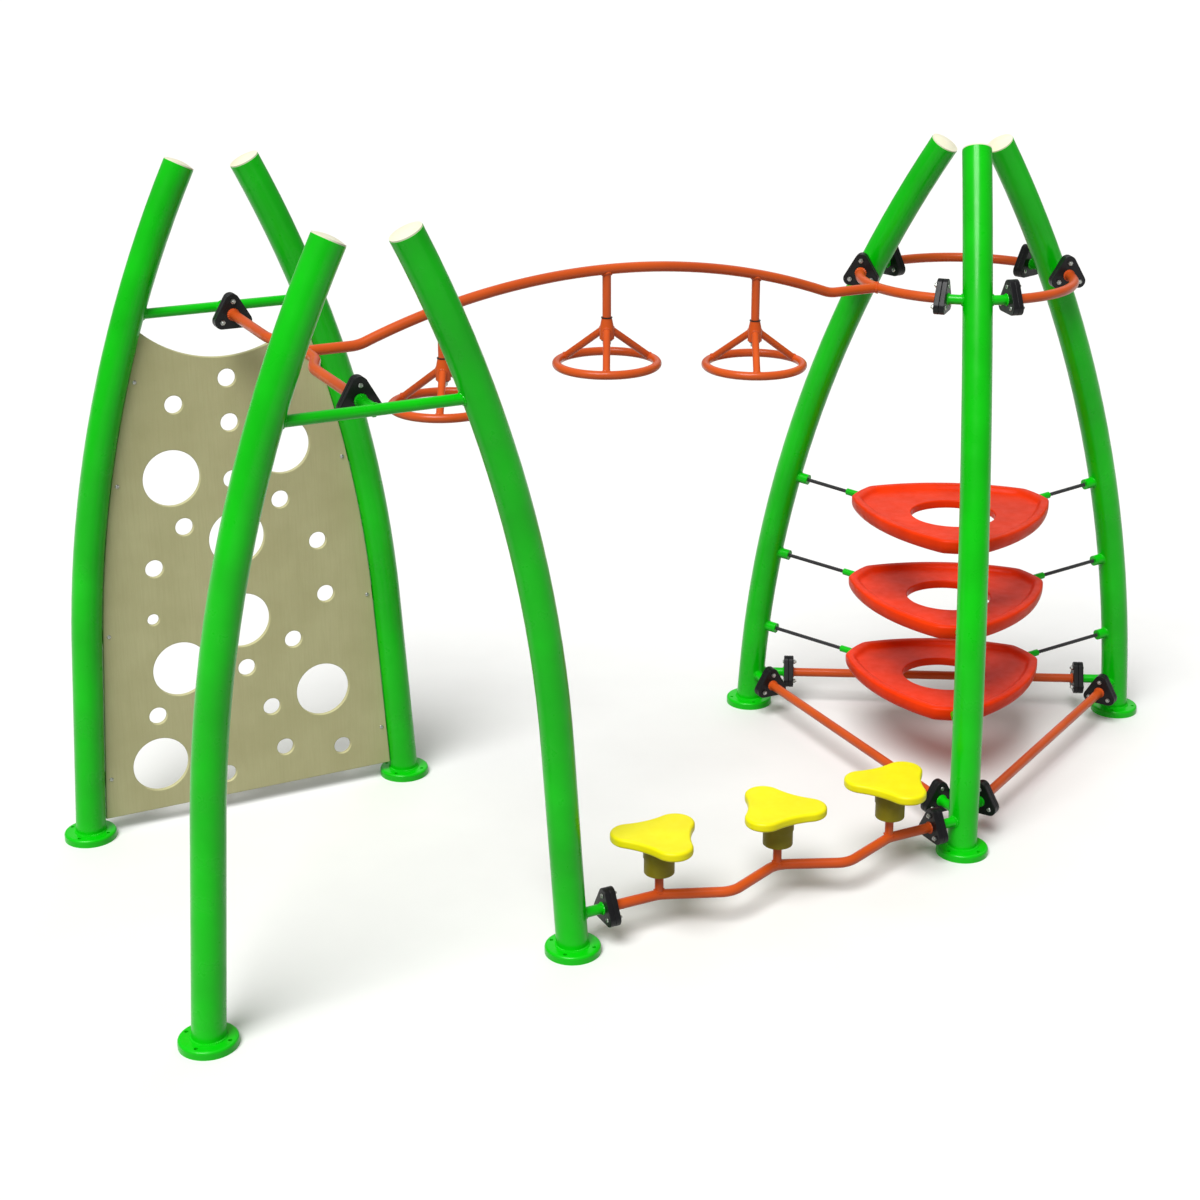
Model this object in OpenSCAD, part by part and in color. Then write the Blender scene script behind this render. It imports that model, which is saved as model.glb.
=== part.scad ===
/* [Posts] */
// Outside diameter of every post
post_d = 114; // [76:1:140]
// Wall of the post tube
post_wall = 4; // [2:0.5:6]
// Diameter of the foot discs
foot_d = 200; // [190:5:260]
// Thickness of the foot discs
foot_t = 30; // [16:1:40]
// Rounding of the foot discs' upper edge
foot_round = 10; // [2:1:12]
// Circle of the anchor holes in a foot disc
anchor_pcd = 160; // [155:1:180]
// Anchor hole diameter
anchor_hole_d = 14; // [10:1:18]
// Anchor holes in each foot disc
anchor_count = 4; // [3:1:6]

/* [Bay] */
// Spacing of the bay feet along X, left to right
bay_w = 1311; // [1200:1:1500]
// Spacing of the bay feet along Y, front to back
bay_d = 1639; // [1500:1:1900]
// Lean of the bay posts at the ground, in degrees
bay_tilt = 3.67; // [2:0.01:5]
// Straight length at the bottom of a bay post
bay_straight = 799; // [700:1:900]
// Bend radius of a bay post, on its centreline
bay_bend_r = 4672; // [4400:1:5200]
// Angle of that bend, in degrees
bay_bend = 22.85; // [18:0.05:24]

/* [Tripod] */
// Distance from the left feet to the tripod's axis
tripod_x = 3448; // [3300:1:3700]
// Radius of the circle through the tripod's feet
tripod_r = 944; // [900:1:1000]
// Lean of the tripod posts at the ground, in degrees
tripod_tilt = 4.3; // [3:0.01:5]
// Straight length at the bottom of a tripod post
tripod_straight = 181; // [150:1:260]
// Bend radius of a tripod post, on its centreline
tripod_bend_r = 5075; // [4900:1:5600]
// Angle of that bend, in degrees
tripod_bend = 28.75; // [25:0.05:29]

/* [Bars and joints] */
// Outside diameter of the bars and rails
bar_d = 38; // [32:1:42]
// Wall of the bar tubes
bar_wall = 2.5; // [2:0.5:4]
// Height of the upper bars and of the ring, to their centreline
high_z = 2050; // [1950:1:2100]
// Height of the lower bars, to their centreline
low_z = 150; // [130:1:180]
// Thickness of one flange plate
flange_t = 21; // [12:1:26]
// Distance of a flange's bolts from its middle
flange_bolt_r = 50; // [46:1:56]
// Corner radius of a flange plate
flange_corner_r = 27; // [20:1:30]
// Flange bolt diameter
bolt_d = 10; // [8:1:12]
// Distance of a ring flange from its post, as an angle at the axis
ring_flange_angle = 18; // [16:0.5:24]
// Distance of a low bar's flange from its post's axis
low_stub = 165; // [150:1:220]
// Distance of a step rail's flange from its post's axis
step_stub = 145; // [135:1:200]
// Distance of the crossbar's flanges from the tie rods
cross_stub = 140; // [110:1:180]
// Sideways bump in the middle of the crossbar
cross_bump = 50; // [30:1:70]
// Length of the bump along the crossbar
cross_bump_l = 480; // [400:5:560]

/* [Overhead rail and wheels] */
// Rise of the arched part of the overhead rail
rail_rise = 178; // [120:1:240]
// Length of the arched part of the overhead rail
rail_arch_l = 1910; // [1800:5:1950]
// Middle of the overhead rail, from the left feet
rail_mid_x = 1855; // [1840:1:1870]
// Distance from the middle hand wheel to the left one
wheel_pitch_left = 645; // [600:1:700]
// Distance from the middle hand wheel to the right one
wheel_pitch_right = 626; // [600:1:700]
// Outside diameter of a hand wheel
wheel_d = 402; // [360:1:440]
// Diameter of a wheel's rim tube
rim_d = 32; // [26:1:36]
// Depth of the rim's centreline under the rail's centreline
wheel_drop = 347; // [310:1:380]
// Depth of the hub's upper end under the rail's centreline
hub_drop = 178; // [160:1:200]
// Height of the hub
hub_h = 78; // [60:1:100]
// Diameter of the hub
hub_d = 54; // [46:1:60]
// Diameter of a wheel's stem
stem_d = 32; // [28:1:36]
// Diameter of the spindle that the wheel turns on
spindle_d = 20; // [16:1:22]
// Diameter of a spoke
spoke_d = 27; // [20:1:30]
// Depth of the spokes' upper ends under the rail's centreline
spoke_drop = 210; // [200:1:240]

/* [Step rail and pods] */
// Height of the step rail's centreline
step_z = 140; // [120:1:170]
// Spacing of the stepping pods
pod_pitch = 489; // [440:1:520]
// Sideways depth of the rail's zigzag
zigzag = 100; // [60:1:130]
// Height of a pod's top face
pod_top = 386; // [340:1:420]
// Thickness of a pod's plate
pod_t = 36; // [28:1:50]
// Distance of a pod's lobes from its middle
pod_lobe_x = 106; // [90:1:120]
// Radius of a pod's lobes
pod_lobe_r = 70; // [60:1:80]
// Diameter of the boss under a pod
boss_d = 116; // [100:1:120]
// Height of the boss
boss_h = 120; // [90:1:130]
// Diameter of a pod's stem
pod_stem_d = 32; // [28:1:38]

/* [Dishes] */
// Height of the lowest dish's corners
dish_low_z = 355; // [300:1:400]
// Height of the middle dish's corners
dish_middle_z = 710; // [600:1:800]
// Height of the highest dish's corners
dish_high_z = 1070; // [950:1:1200]
// Reach of a dish's corners from its axis
dish_reach = 435; // [420:1:445]
// Distance of a dish's sides from its axis
dish_side = 352; // [340:1:365]
// Diameter of the round hole in a dish
dish_hole_d = 345; // [300:5:380]
// Height of a dish's outer rim
dish_rim_h = 60; // [52:1:80]
// Part of that rim above the ropes
dish_rim_up = 22; // [20:1:30]
// Thickness of a dish at its hole
dish_lip_h = 40; // [30:1:50]
// Rope diameter
rope_d = 16; // [12:1:18]
// Rise of the rope towards the post
rope_rise = 36; // [20:1:45]

/* [Climbing panel] */
// Thickness of the panel
panel_t = 19; // [12:1:25]
// Height of the panel's lower edge
panel_z = 65; // [45:1:120]
// Gap between the panel and the posts' tubes
panel_gap = 3; // [2:0.5:10]
// Height of the top edge at its lowest point
panel_top_z = 1860; // [1700:1:1880]
// Radius of the hollow in the top edge
panel_top_r = 456; // [430:1:500]
// Diameter of the panel's large holes
hold_d = 220; // [160:5:220]
// Diameter of the panel's small holes
grip_d = 70; // [40:1:72]

/* [Hidden] */

green = [0.0, 0.72, 0.05];
orange = [0.86, 0.33, 0.12];
black = [0.05, 0.05, 0.05];
cream = [0.93, 0.90, 0.80];
yellow = [1.0, 0.95, 0.0];
olive = [0.45, 0.42, 0.05];
red_orange = [0.95, 0.25, 0.05];
khaki = [0.60, 0.58, 0.42];
steel = [0.75, 0.76, 0.78];

eps = 0.01;
far = 40;
big = 6000;
// Radial play of a pin in a fixed hole, of a nut on its thread and of a turning bush
pin_play = 0.25;
thread_play = 0.05;
run_play = 0.06;
// Smallest gap between pieces that only pass each other
air = 0.5;
// Slack of the copes that are cut with a rod in place of the faceted rail
cope_play = 0.05;

post_r = post_d / 2;
post_bore = post_d - 2 * post_wall;
bar_r = bar_d / 2;
bar_bore = bar_d - 2 * bar_wall;
foot_r = foot_d / 2;

pod_reach = pod_lobe_x + pod_lobe_r;
plan_left = -foot_r;
plan_right = tripod_x + tripod_r + foot_r;
plan_back = bay_d / 2 + foot_r;
plan_front = -bay_d / 2 - max(foot_r, pod_reach);
mid_x = (plan_left + plan_right) / 2;
mid_y = (plan_back + plan_front) / 2;

// How far a post has leaned inwards at height z
function lean(z, tilt, straight, bend_r) =
    z < straight * cos(tilt) ? z * tan(tilt)
    : straight * sin(tilt) + bend_r * (cos(tilt) - cos(asin(sin(tilt) + (z - straight * cos(tilt)) / bend_r)));
function bay_lean(z) = lean(z, bay_tilt, bay_straight, bay_bend_r);
function tripod_lean(z) = lean(z, tripod_tilt, tripod_straight, tripod_bend_r);
function tripod_at(angle, z) = let (r = tripod_r - tripod_lean(z)) [tripod_x + r * cos(angle), r * sin(angle), z];
function unit(v) = v / norm(v);
function heading(v) = atan2(v[1], v[0]);

ring_r = tripod_r - tripod_lean(high_z);
tripod_angles = [120, -120, 0];
low_pairs = [[120, -120], [0, 120], [-120, 0]];

// Plan coordinates run from the left feet and from the middle plane
module placed() { translate([-mid_x, -mid_y, 0]) children(); }

// Round section of a tube, or of a solid bar where the bore is 0
module section(d, bore) {
    difference() {
        circle(d = d, $fn = 96);
        if (bore > 0) circle(d = bore, $fn = 96);
    }
}
// Post's centreline: a straight foot from a little under the ground, then one bend towards +X
module post_line(d, bore, tilt, length, bend_r, angle) {
    rotate([0, tilt, 0]) {
        translate([0, 0, -far]) linear_extrude(length + far) section(d, bore);
        translate([bend_r, 0, length]) rotate([90, 0, 0]) mirror([1, 0, 0])
            rotate_extrude(angle = angle, $fn = 256) translate([bend_r, 0]) section(d, bore);
    }
}
module bay_line(d, bore = 0, past = 0) {
    post_line(d, bore, bay_tilt, bay_straight, bay_bend_r, bay_bend + past);
}
module tripod_line(d, bore = 0, past = 0) {
    post_line(d, bore, tripod_tilt, tripod_straight, tripod_bend_r, tripod_bend + past);
}
module above(z) {
    difference() {
        children();
        translate([-big / 2, -big / 2, z - big]) cube(big);
    }
}

// Foot disc with a rounded upper edge and the anchor holes
module foot() {
    difference() {
        rotate_extrude($fn = 96) {
            square([foot_r - foot_round, foot_t]);
            square([foot_r, foot_t - foot_round]);
            translate([foot_r - foot_round, foot_t - foot_round]) intersection() {
                circle(r = foot_round, $fn = 48);
                square(foot_round);
            }
        }
        for (i = [0 : anchor_count - 1]) rotate([0, 0, 360 / anchor_count * (i + 0.5)])
            translate([anchor_pcd / 2, 0, -1]) cylinder(h = foot_t + 2, d = anchor_hole_d, $fn = 32);
    }
}

// Where each bay post stands: [x, y, heading of its lean]
bay_feet = [[0, bay_d / 2, 0], [bay_w, bay_d / 2, 180], [0, -bay_d / 2, 0], [bay_w, -bay_d / 2, 180]];
module at_bay(i) {
    translate([bay_feet[i][0], bay_feet[i][1], 0]) rotate([0, 0, bay_feet[i][2]]) children();
}
module at_tripod(angle) {
    translate([tripod_x, 0, 0]) rotate([0, 0, angle]) translate([tripod_r, 0, 0]) rotate([0, 0, 180]) children();
}

module bay_post(i) {
    placed() {
        at_bay(i) above(foot_t / 2) bay_line(post_d, post_bore);
        at_bay(i) foot();
        difference() {
            union() {
                if (i == 3) step_stub_tube(0);
                if (i < 2) for (z = tab_heights) panel_tab(i, z);
            }
            at_bay(i) bay_line(post_bore, 0, 1);
        }
    }
}

module tripod_post(angle) {
    placed() {
        at_tripod(angle) above(foot_t / 2) tripod_line(post_d, post_bore);
        at_tripod(angle) foot();
        difference() {
            union() {
                for (side = [-1, 1]) ring_stub(angle, side);
                for (pair = low_pairs) if (pair[0] == angle || pair[1] == angle)
                    low_stub_tube(angle, pair[0] == angle ? pair[1] : pair[0]);
                for (z = dish_levels) rope_lug(angle, z);
                if (angle == -120) step_stub_tube(1);
            }
            at_tripod(angle) tripod_line(post_bore, 0, 1);
        }
    }
}

// Moulded cap: a plug in the post's bore and a low domed rim on its end
cap_t = 5;
cap_dome = 9;
cap_plug_l = 24;
cap_dome_r = (pow(post_r - 3, 2) + pow(cap_dome, 2)) / (2 * cap_dome);
module cap() {
    translate([0, 0, -cap_plug_l]) cylinder(h = cap_plug_l + eps, d = post_bore - 2 * pin_play, $fn = 96);
    cylinder(h = cap_t, r = post_r - 1, $fn = 96);
    intersection() {
        translate([0, 0, cap_t + cap_dome - cap_dome_r]) sphere(r = cap_dome_r, $fn = 128);
        translate([0, 0, cap_t - 1]) cylinder(h = cap_dome + 1, r = post_r - 3, $fn = 96);
    }
}
module at_post_top(tilt, length, bend_r, angle) {
    rotate([0, tilt, 0]) translate([bend_r, 0, length]) rotate([0, angle, 0]) translate([-bend_r, 0, 0]) children();
}
module post_caps() {
    color(cream) placed() {
        for (i = [0 : 3]) at_bay(i) at_post_top(bay_tilt, bay_straight, bay_bend_r, bay_bend) cap();
        for (a = tripod_angles) at_tripod(a)
            at_post_top(tripod_tilt, tripod_straight, tripod_bend_r, tripod_bend) cap();
    }
}

// Tube from point p towards point q, over the distance from a to b
module tube_between(p, q, a, b, d = bar_d, bore = bar_bore) {
    v = unit(q - p);
    translate(p + a * v) rotate([0, acos(v[2]), heading(v)]) difference() {
        cylinder(h = b - a, d = d, $fn = 72);
        if (bore > 0) translate([0, 0, -1]) cylinder(h = b - a + 2, d = bore, $fn = 72);
    }
}

// Rounded triangular flange plate: face on z = 0, body below it, one corner along +Y
function flange_corner(k) = [for (t = [-60 : 20 : 60])
    flange_bolt_r * [cos(90 + 120 * k), sin(90 + 120 * k)]
    + flange_corner_r * [cos(90 + 120 * k + t), sin(90 + 120 * k + t)]];
flange_outline = [for (k = [0 : 2]) each flange_corner(k)];
module flange_holes(d, h) {
    for (k = [0 : 2]) rotate([0, 0, 120 * k]) translate([0, flange_bolt_r, 0]) cylinder(h = h, d = d, $fn = 32);
}
module flange_plate() {
    difference() {
        translate([0, 0, -flange_t]) linear_extrude(flange_t) polygon(flange_outline);
        translate([0, 0, -flange_t - 1]) flange_holes(bolt_d + 2 * pin_play, flange_t + 2);
    }
}

// Stands the joint's local frame at p, with local z along the level direction v and local Y up
module at_joint(p, v) { translate(p) rotate([0, 0, heading(v)]) rotate([90, 0, 90]) children(); }
module plate_pair() {
    flange_plate();
    mirror([0, 0, 1]) flange_plate();
}

head_h = 6;
nut_af = 17;
nut_h = 9;
bolt_tail = 5;
module joint_bolts() {
    translate([0, 0, -flange_t - head_h]) flange_holes(17, head_h);
    translate([0, 0, -flange_t - eps]) flange_holes(bolt_d, 2 * flange_t + nut_h + bolt_tail);
}
module joint_nuts() {
    translate([0, 0, flange_t]) for (k = [0 : 2]) rotate([0, 0, 120 * k]) translate([0, flange_bolt_r, 0])
        difference() {
            cylinder(h = nut_h, d = nut_af / cos(30), $fn = 6);
            translate([0, 0, -1]) cylinder(h = nut_h + 2, d = bolt_d + 2 * thread_play, $fn = 32);
        }
}

// Joints between the ring's arcs and the posts' stubs: [point, direction away from the post]
function ring_joint(angle, side) = let (t = angle + side * ring_flange_angle)
    [[tripod_x + ring_r * cos(t), ring_r * sin(t), high_z], side * [-sin(t), cos(t), 0]];
ring_joints = [for (a = tripod_angles) for (s = [-1, 1]) ring_joint(a, s)];

// Joints between the low bars and the posts' stubs
function low_joint(a, b) = let (p = tripod_at(a, low_z), v = unit(tripod_at(b, low_z) - p)) [p + low_stub * v, v];
low_joints = [for (pair = low_pairs) each [low_joint(pair[0], pair[1]), low_joint(pair[1], pair[0])]];

// Joints of the step rail and of the crossbar
step_y = -bay_d / 2;
step_posts = [[bay_w - bay_lean(step_z), step_y, step_z],
    [tripod_at(-120, step_z)[0], step_y, step_z]];
step_joints = [[step_posts[0] + [step_stub, 0, 0], [1, 0, 0]], [step_posts[1] - [step_stub, 0, 0], [-1, 0, 0]]];
cross_x = bay_w / 2;
cross_joints = [for (s = [-1, 1]) [[cross_x, s * (bay_d / 2 - cross_stub), high_z], [0, -s, 0]]];

// Stub and arc tubes of the ring, trimmed flat where the flange plates sit
module ring_tube(from, sweep) {
    difference() {
        translate([tripod_x, 0, high_z]) rotate([0, 0, from])
            rotate_extrude(angle = sweep, $fn = 256) translate([ring_r, 0]) difference() {
                circle(d = bar_d, $fn = 72);
                circle(d = bar_bore, $fn = 72);
            }
        for (j = ring_joints) at_joint(j[0], j[1]) translate([-bar_d, -bar_d, -flange_t])
            cube([2 * bar_d, 2 * bar_d, 2 * flange_t]);
    }
}
module ring_stub(angle, side) { ring_tube(side > 0 ? angle : angle - ring_flange_angle, ring_flange_angle); }
module ring_arc(from) {
    color(orange) placed() ring_tube(from + ring_flange_angle, 120 - 2 * ring_flange_angle);
}
module ring_arc_back() { ring_arc(0); }
module ring_arc_left() { ring_arc(120); }
module ring_arc_front() { ring_arc(-120); }

module low_stub_tube(from, to) {
    tube_between(tripod_at(from, low_z), tripod_at(to, low_z), 0, low_stub - flange_t);
}
module low_bar(pair) {
    p = tripod_at(pair[0], low_z);
    q = tripod_at(pair[1], low_z);
    color(orange) placed() tube_between(p, q, low_stub + flange_t, norm(q - p) - low_stub - flange_t);
}
module low_bar_left() { low_bar(low_pairs[0]); }
module low_bar_back() { low_bar(low_pairs[1]); }
module low_bar_front() { low_bar(low_pairs[2]); }

module step_stub_tube(end) {
    tube_between(step_posts[end], step_joints[end][0], 0, step_stub - flange_t);
}

module high_flanges() {
    color(black) placed() for (j = cross_joints) at_joint(j[0], j[1]) plate_pair();
}
module ring_flanges() {
    color(black) placed() for (j = ring_joints) at_joint(j[0], j[1]) plate_pair();
}
module low_flanges() {
    color(black) placed() for (j = concat(low_joints, step_joints)) at_joint(j[0], j[1]) plate_pair();
}
all_joints = concat(cross_joints, ring_joints, low_joints, step_joints);
module flange_bolts() {
    color(steel) placed() for (j = all_joints) at_joint(j[0], j[1]) joint_bolts();
}
module flange_nuts() {
    color(steel) placed() for (j = all_joints) at_joint(j[0], j[1]) joint_nuts();
}

// Bent tube in the XY plane, swept ring by ring: corner points, and the bend radius at each corner
tube_sides = 20;
chord_error = 0.6;
function leg(p, i) = p[i + 1] - p[i];
function turn(p, i) = let (a = leg(p, i - 1), b = leg(p, i))
    atan2(a[0] * b[1] - a[1] * b[0], a[0] * b[0] + a[1] * b[1]);
function bend_steps(t, r) = max(3, ceil(abs(t) / (2 * acos(1 - chord_error / r))));
function bend_rings(p, r, i) = let (v = unit(leg(p, i - 1)), t = turn(p, i), side = sign(t) * r[i],
        n = bend_steps(t, r[i]), middle = p[i] - r[i] * tan(abs(t) / 2) * v + side * [-v[1], v[0]])
    [for (k = [0 : n]) let (h = heading(v) + t * k / n) [middle - side * [-sin(h), cos(h)], h]];
function path_rings(p, r) = concat([[p[0], heading(leg(p, 0))]],
    [for (i = [1 : len(p) - 2]) each bend_rings(p, r, i)],
    [[p[len(p) - 1], heading(leg(p, len(p) - 2))]]);
function ring_points(ring, r) = [for (j = [0 : tube_sides - 1]) let (t = 360 * j / tube_sides)
    [ring[0][0] - r * cos(t) * sin(ring[1]), ring[0][1] + r * cos(t) * cos(ring[1]), r * sin(t)]];
module bent_tube(p, r) {
    rings = path_rings(p, r);
    last = len(rings) - 1;
    n = tube_sides;
    inner = n * len(rings);
    points = concat([for (ring = rings) each ring_points(ring, bar_r)],
        [for (ring = rings) each ring_points(ring, bar_bore / 2)]);
    skin = [for (i = [0 : last - 1]) for (j = [0 : n - 1]) let (k = (j + 1) % n)
        [i * n + j, (i + 1) * n + j, (i + 1) * n + k, i * n + k]];
    bore = [for (q = skin) [q[3] + inner, q[2] + inner, q[1] + inner, q[0] + inner]];
    near_end = [for (j = [0 : n - 1]) let (k = (j + 1) % n) [j, k, k + inner, j + inner]];
    far_end = [for (q = near_end) [for (m = [3 : -1 : 0]) q[m] + last * n]];
    polyhedron(points, concat(skin, bore, near_end, far_end));
}

module tie_rod(i, side) {
    x = bay_lean(high_z);
    color(green) placed() difference() {
        union() {
            translate([x, side * bay_d / 2, high_z]) rotate([0, 90, 0])
                cylinder(h = bay_w - 2 * x, d = bar_d, $fn = 72);
            translate([cross_x, side * bay_d / 2, high_z]) rotate([side * 90, 0, 0])
                cylinder(h = cross_stub - flange_t, d = bar_d, $fn = 72);
        }
        translate([x - 1, side * bay_d / 2, high_z]) rotate([0, 90, 0])
            cylinder(h = bay_w - 2 * x + 2, d = bar_bore, $fn = 72);
        translate([cross_x, side * bay_d / 2, high_z]) rotate([side * 90, 0, 0])
            cylinder(h = cross_stub, d = bar_bore, $fn = 72);
        for (k = [0, 1]) at_bay(i + k) bay_line(post_d);
    }
}
module tie_rod_back() { tie_rod(0, 1); }
module tie_rod_front() { tie_rod(2, -1); }

// Crossbar: level, with a shallow bump where the overhead rail is welded to it
cross_bend_r = 200;
cross_end = bay_d / 2 - cross_stub - flange_t;
cross_points = [[cross_x, cross_end], [cross_x, cross_bump_l / 2], [cross_x + cross_bump, cross_bump_l / 4],
    [cross_x + cross_bump, -cross_bump_l / 4], [cross_x, -cross_bump_l / 2], [cross_x, -cross_end]];
cross_radii = [for (p = cross_points) cross_bend_r];
module crossbar() {
    color(orange) placed() translate([0, 0, high_z]) bent_tube(cross_points, cross_radii);
}

// Overhead rail in the middle plane: X along, Y up in its own drawing
rail_slope = 2 * atan(2 * rail_rise / rail_arch_l) - 0.6;
rail_leg = rail_arch_l / 2 / cos(rail_slope);
rail_r = (rail_arch_l / 2 * tan(rail_slope) - rail_rise) / (1 / cos(rail_slope) - 1);
rail_end_r = 0.95 * (rail_leg - rail_r * tan(rail_slope)) / tan(rail_slope / 2);
rail_from = rail_mid_x - rail_arch_l / 2;
rail_to = rail_mid_x + rail_arch_l / 2;
rail_points = [[cross_x + cross_bump + bar_r, high_z], [rail_from, high_z],
    [rail_mid_x, high_z + rail_arch_l / 2 * tan(rail_slope)], [rail_to, high_z], [tripod_x - ring_r - bar_r, high_z]];
rail_radii = [0, rail_end_r, rail_r, rail_end_r, 0];
function rail_height(x) = high_z + rail_rise - rail_r + sqrt(pow(rail_r, 2) - pow(x - rail_mid_x, 2));
// Solid bar in line with the rail where it passes x, which copes what is welded under it
module rail_rod(x) {
    rings = path_rings(rail_points, rail_radii);
    for (i = [0 : len(rings) - 2]) if (rings[i][0][0] <= x && rings[i + 1][0][0] > x) {
        v = rings[i + 1][0] - rings[i][0];
        translate(rings[i][0]) rotate([0, 0, heading(v)]) rotate([0, 90, 0])
            translate([0, 0, -far]) cylinder(h = norm(v) + 2 * far, d = bar_d, $fn = 96);
    }
}
module in_middle_plane() { rotate([90, 0, 0]) children(); }
module overhead_rail() { color(orange) placed() in_middle_plane() bent_tube(rail_points, rail_radii); }

// Hand wheels: each local frame stands on the rail's centreline above its wheel
bush_flange_t = 3;
bush_flange_d = spindle_d + 22;
bush_wall = 4;
bush_l = 24;
washer_t = 3;
wheel_nut_h = 13;
wheel_nut_af = 30;
rim_ring_r = (wheel_d - rim_d) / 2;
rim_wall = 2.5;
vent_d = 8;
hub_bottom = hub_drop + hub_h;
shoulder_drop = hub_drop - bush_flange_t - air;
washer_drop = hub_bottom + bush_flange_t + air;
spindle_end = washer_drop + washer_t + wheel_nut_h + 4;
function wheel_x(k) = rail_mid_x + k * (k > 0 ? wheel_pitch_right : wheel_pitch_left);
module at_wheel(k) {
    placed() translate([wheel_x(k), 0, rail_height(wheel_x(k))]) children();
}
module stem(k) {
    color(orange) difference() {
        at_wheel(k) {
            translate([0, 0, -shoulder_drop]) cylinder(h = shoulder_drop, d = stem_d, $fn = 72);
            translate([0, 0, -spindle_end]) cylinder(h = spindle_end - shoulder_drop, d = spindle_d, $fn = 72);
        }
        placed() in_middle_plane() rail_rod(wheel_x(k));
    }
}
module wheel(k) {
    hub_bore = spindle_d + 2 * bush_wall;
    top_d = stem_d + 6;
    color(orange) at_wheel(k) difference() {
        union() {
            translate([0, 0, -hub_bottom]) cylinder(h = hub_h / 2, d = hub_d, $fn = 72);
            translate([0, 0, -hub_drop - hub_h / 2]) cylinder(h = hub_h / 2, d1 = hub_d, d2 = top_d, $fn = 72);
            translate([0, 0, -wheel_drop]) rotate_extrude($fn = 144) translate([rim_ring_r, 0])
                circle(d = rim_d, $fn = 48);
            for (a = [-117, 3, 123]) rotate([0, 0, a])
                tube_between([0, 0, -spoke_drop], [rim_ring_r, 0, -wheel_drop], 0,
                    norm([rim_ring_r, wheel_drop - spoke_drop]), spoke_d, 0);
        }
        translate([0, 0, -wheel_drop]) rotate_extrude($fn = 144) translate([rim_ring_r, 0])
            circle(d = rim_d - 2 * rim_wall, $fn = 48);
        translate([0, 0, -hub_bottom - 1]) cylinder(h = hub_h + 2, d = hub_bore, $fn = 72);
        translate([0, 0, -hub_bottom - far]) cylinder(h = far, d = hub_d, $fn = 72);
        rotate([0, 0, 63]) translate([rim_ring_r, 0, -wheel_drop - rim_d]) cylinder(h = rim_d, d = vent_d, $fn = 32);
    }
}
module bushes(k) {
    color([0.2, 0.2, 0.2]) at_wheel(k) for (s = [0, 1])
        translate([0, 0, s == 0 ? -hub_drop : -hub_bottom]) mirror([0, 0, s]) difference() {
            union() {
                cylinder(h = bush_flange_t, d = bush_flange_d, $fn = 72);
                translate([0, 0, -bush_l]) cylinder(h = bush_l + eps, d = spindle_d + 2 * bush_wall - 2 * eps, $fn = 72);
            }
            translate([0, 0, -bush_l - 1]) cylinder(h = bush_l + bush_flange_t + 2,
                d = spindle_d + 2 * run_play, $fn = 72);
        }
}
module spindle_nut(k) {
    color(steel) at_wheel(k) difference() {
        union() {
            translate([0, 0, -washer_drop - washer_t]) cylinder(h = washer_t, d = bush_flange_d, $fn = 72);
            translate([0, 0, -washer_drop - washer_t - wheel_nut_h])
                cylinder(h = wheel_nut_h + eps, d = wheel_nut_af / cos(30), $fn = 6);
        }
        translate([0, 0, -washer_drop - washer_t - wheel_nut_h - 1])
            cylinder(h = wheel_nut_h + washer_t + 2, d = spindle_d + 2 * thread_play, $fn = 72);
    }
}
module stem_left() { stem(-1); }
module stem_middle() { stem(0); }
module stem_right() { stem(1); }
module wheel_left() { wheel(-1); }
module wheel_middle() { wheel(0); }
module wheel_right() { wheel(1); }
module bushes_left() { bushes(-1); }
module bushes_middle() { bushes(0); }
module bushes_right() { bushes(1); }
module spindle_nut_left() { spindle_nut(-1); }
module spindle_nut_middle() { spindle_nut(0); }
module spindle_nut_right() { spindle_nut(1); }

// Step rail: level zigzag, bent so that it passes under each pod's middle
step_mid_x = (step_joints[0][0][0] + step_joints[1][0][0]) / 2;
function pod_x(k) = step_mid_x + k * pod_pitch;
step_bend_r = 100;
zig_angle = atan(2 * zigzag / pod_pitch);
crest_y = step_y + step_bend_r * (1 / cos(zig_angle) - 1);
step_points = [[step_joints[0][0][0] + flange_t, step_y], [pod_x(-1), step_y],
    [pod_x(-0.5), step_y - zigzag], [pod_x(0), crest_y], [pod_x(0.5), step_y - zigzag],
    [pod_x(1), step_y], [step_joints[1][0][0] - flange_t, step_y]];
step_radii = [for (p = step_points) step_bend_r];
// Solid bar along one bend of the step rail, which copes the stem above it
module step_bend_rod(i) {
    v = unit(leg(step_points, i - 1));
    t = abs(turn(step_points, i));
    translate(step_points[i] - step_bend_r * tan(t / 2) * v + step_bend_r * [v[1], -v[0]])
        rotate([0, 0, heading(v) + 90 - 1.5 * t])
        rotate_extrude(angle = 2 * t, $fn = 256) translate([step_bend_r, 0]) section(bar_d + 2 * cope_play, 0);
}
module step_rail() {
    color(orange) placed() translate([0, 0, step_z]) bent_tube(step_points, step_radii);
}

// Pod outline: three round lobes joined by hollow sides, one lobe along +Y
pod_side = 111;
pod_half = pod_lobe_x * sin(60);
pod_dip = pod_side - pod_lobe_x / 2;
pod_side_r = (pow(pod_dip, 2) + pow(pod_half, 2) - pow(pod_lobe_r, 2)) / (2 * (pod_lobe_r - pod_dip));
pod_centre = pod_side + pod_side_r;
pod_open = atan(pod_half / (pod_centre - pod_lobe_x / 2));
function on_circle(c, r, t) = c + r * [cos(t), sin(t)];
function pod_third(k) = let (a = 90 + 120 * k, lobe = pod_lobe_x * [cos(a), sin(a)],
        middle = pod_centre * [cos(a + 60), sin(a + 60)], wide = 60 + pod_open)
    concat([for (t = [-wide : wide / 6 : wide + eps]) on_circle(lobe, pod_lobe_r, a + t)],
        [for (t = [-0.6 : 0.4 : 0.61]) on_circle(middle, pod_side_r, a + 240 - t * pod_open)]);
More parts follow.
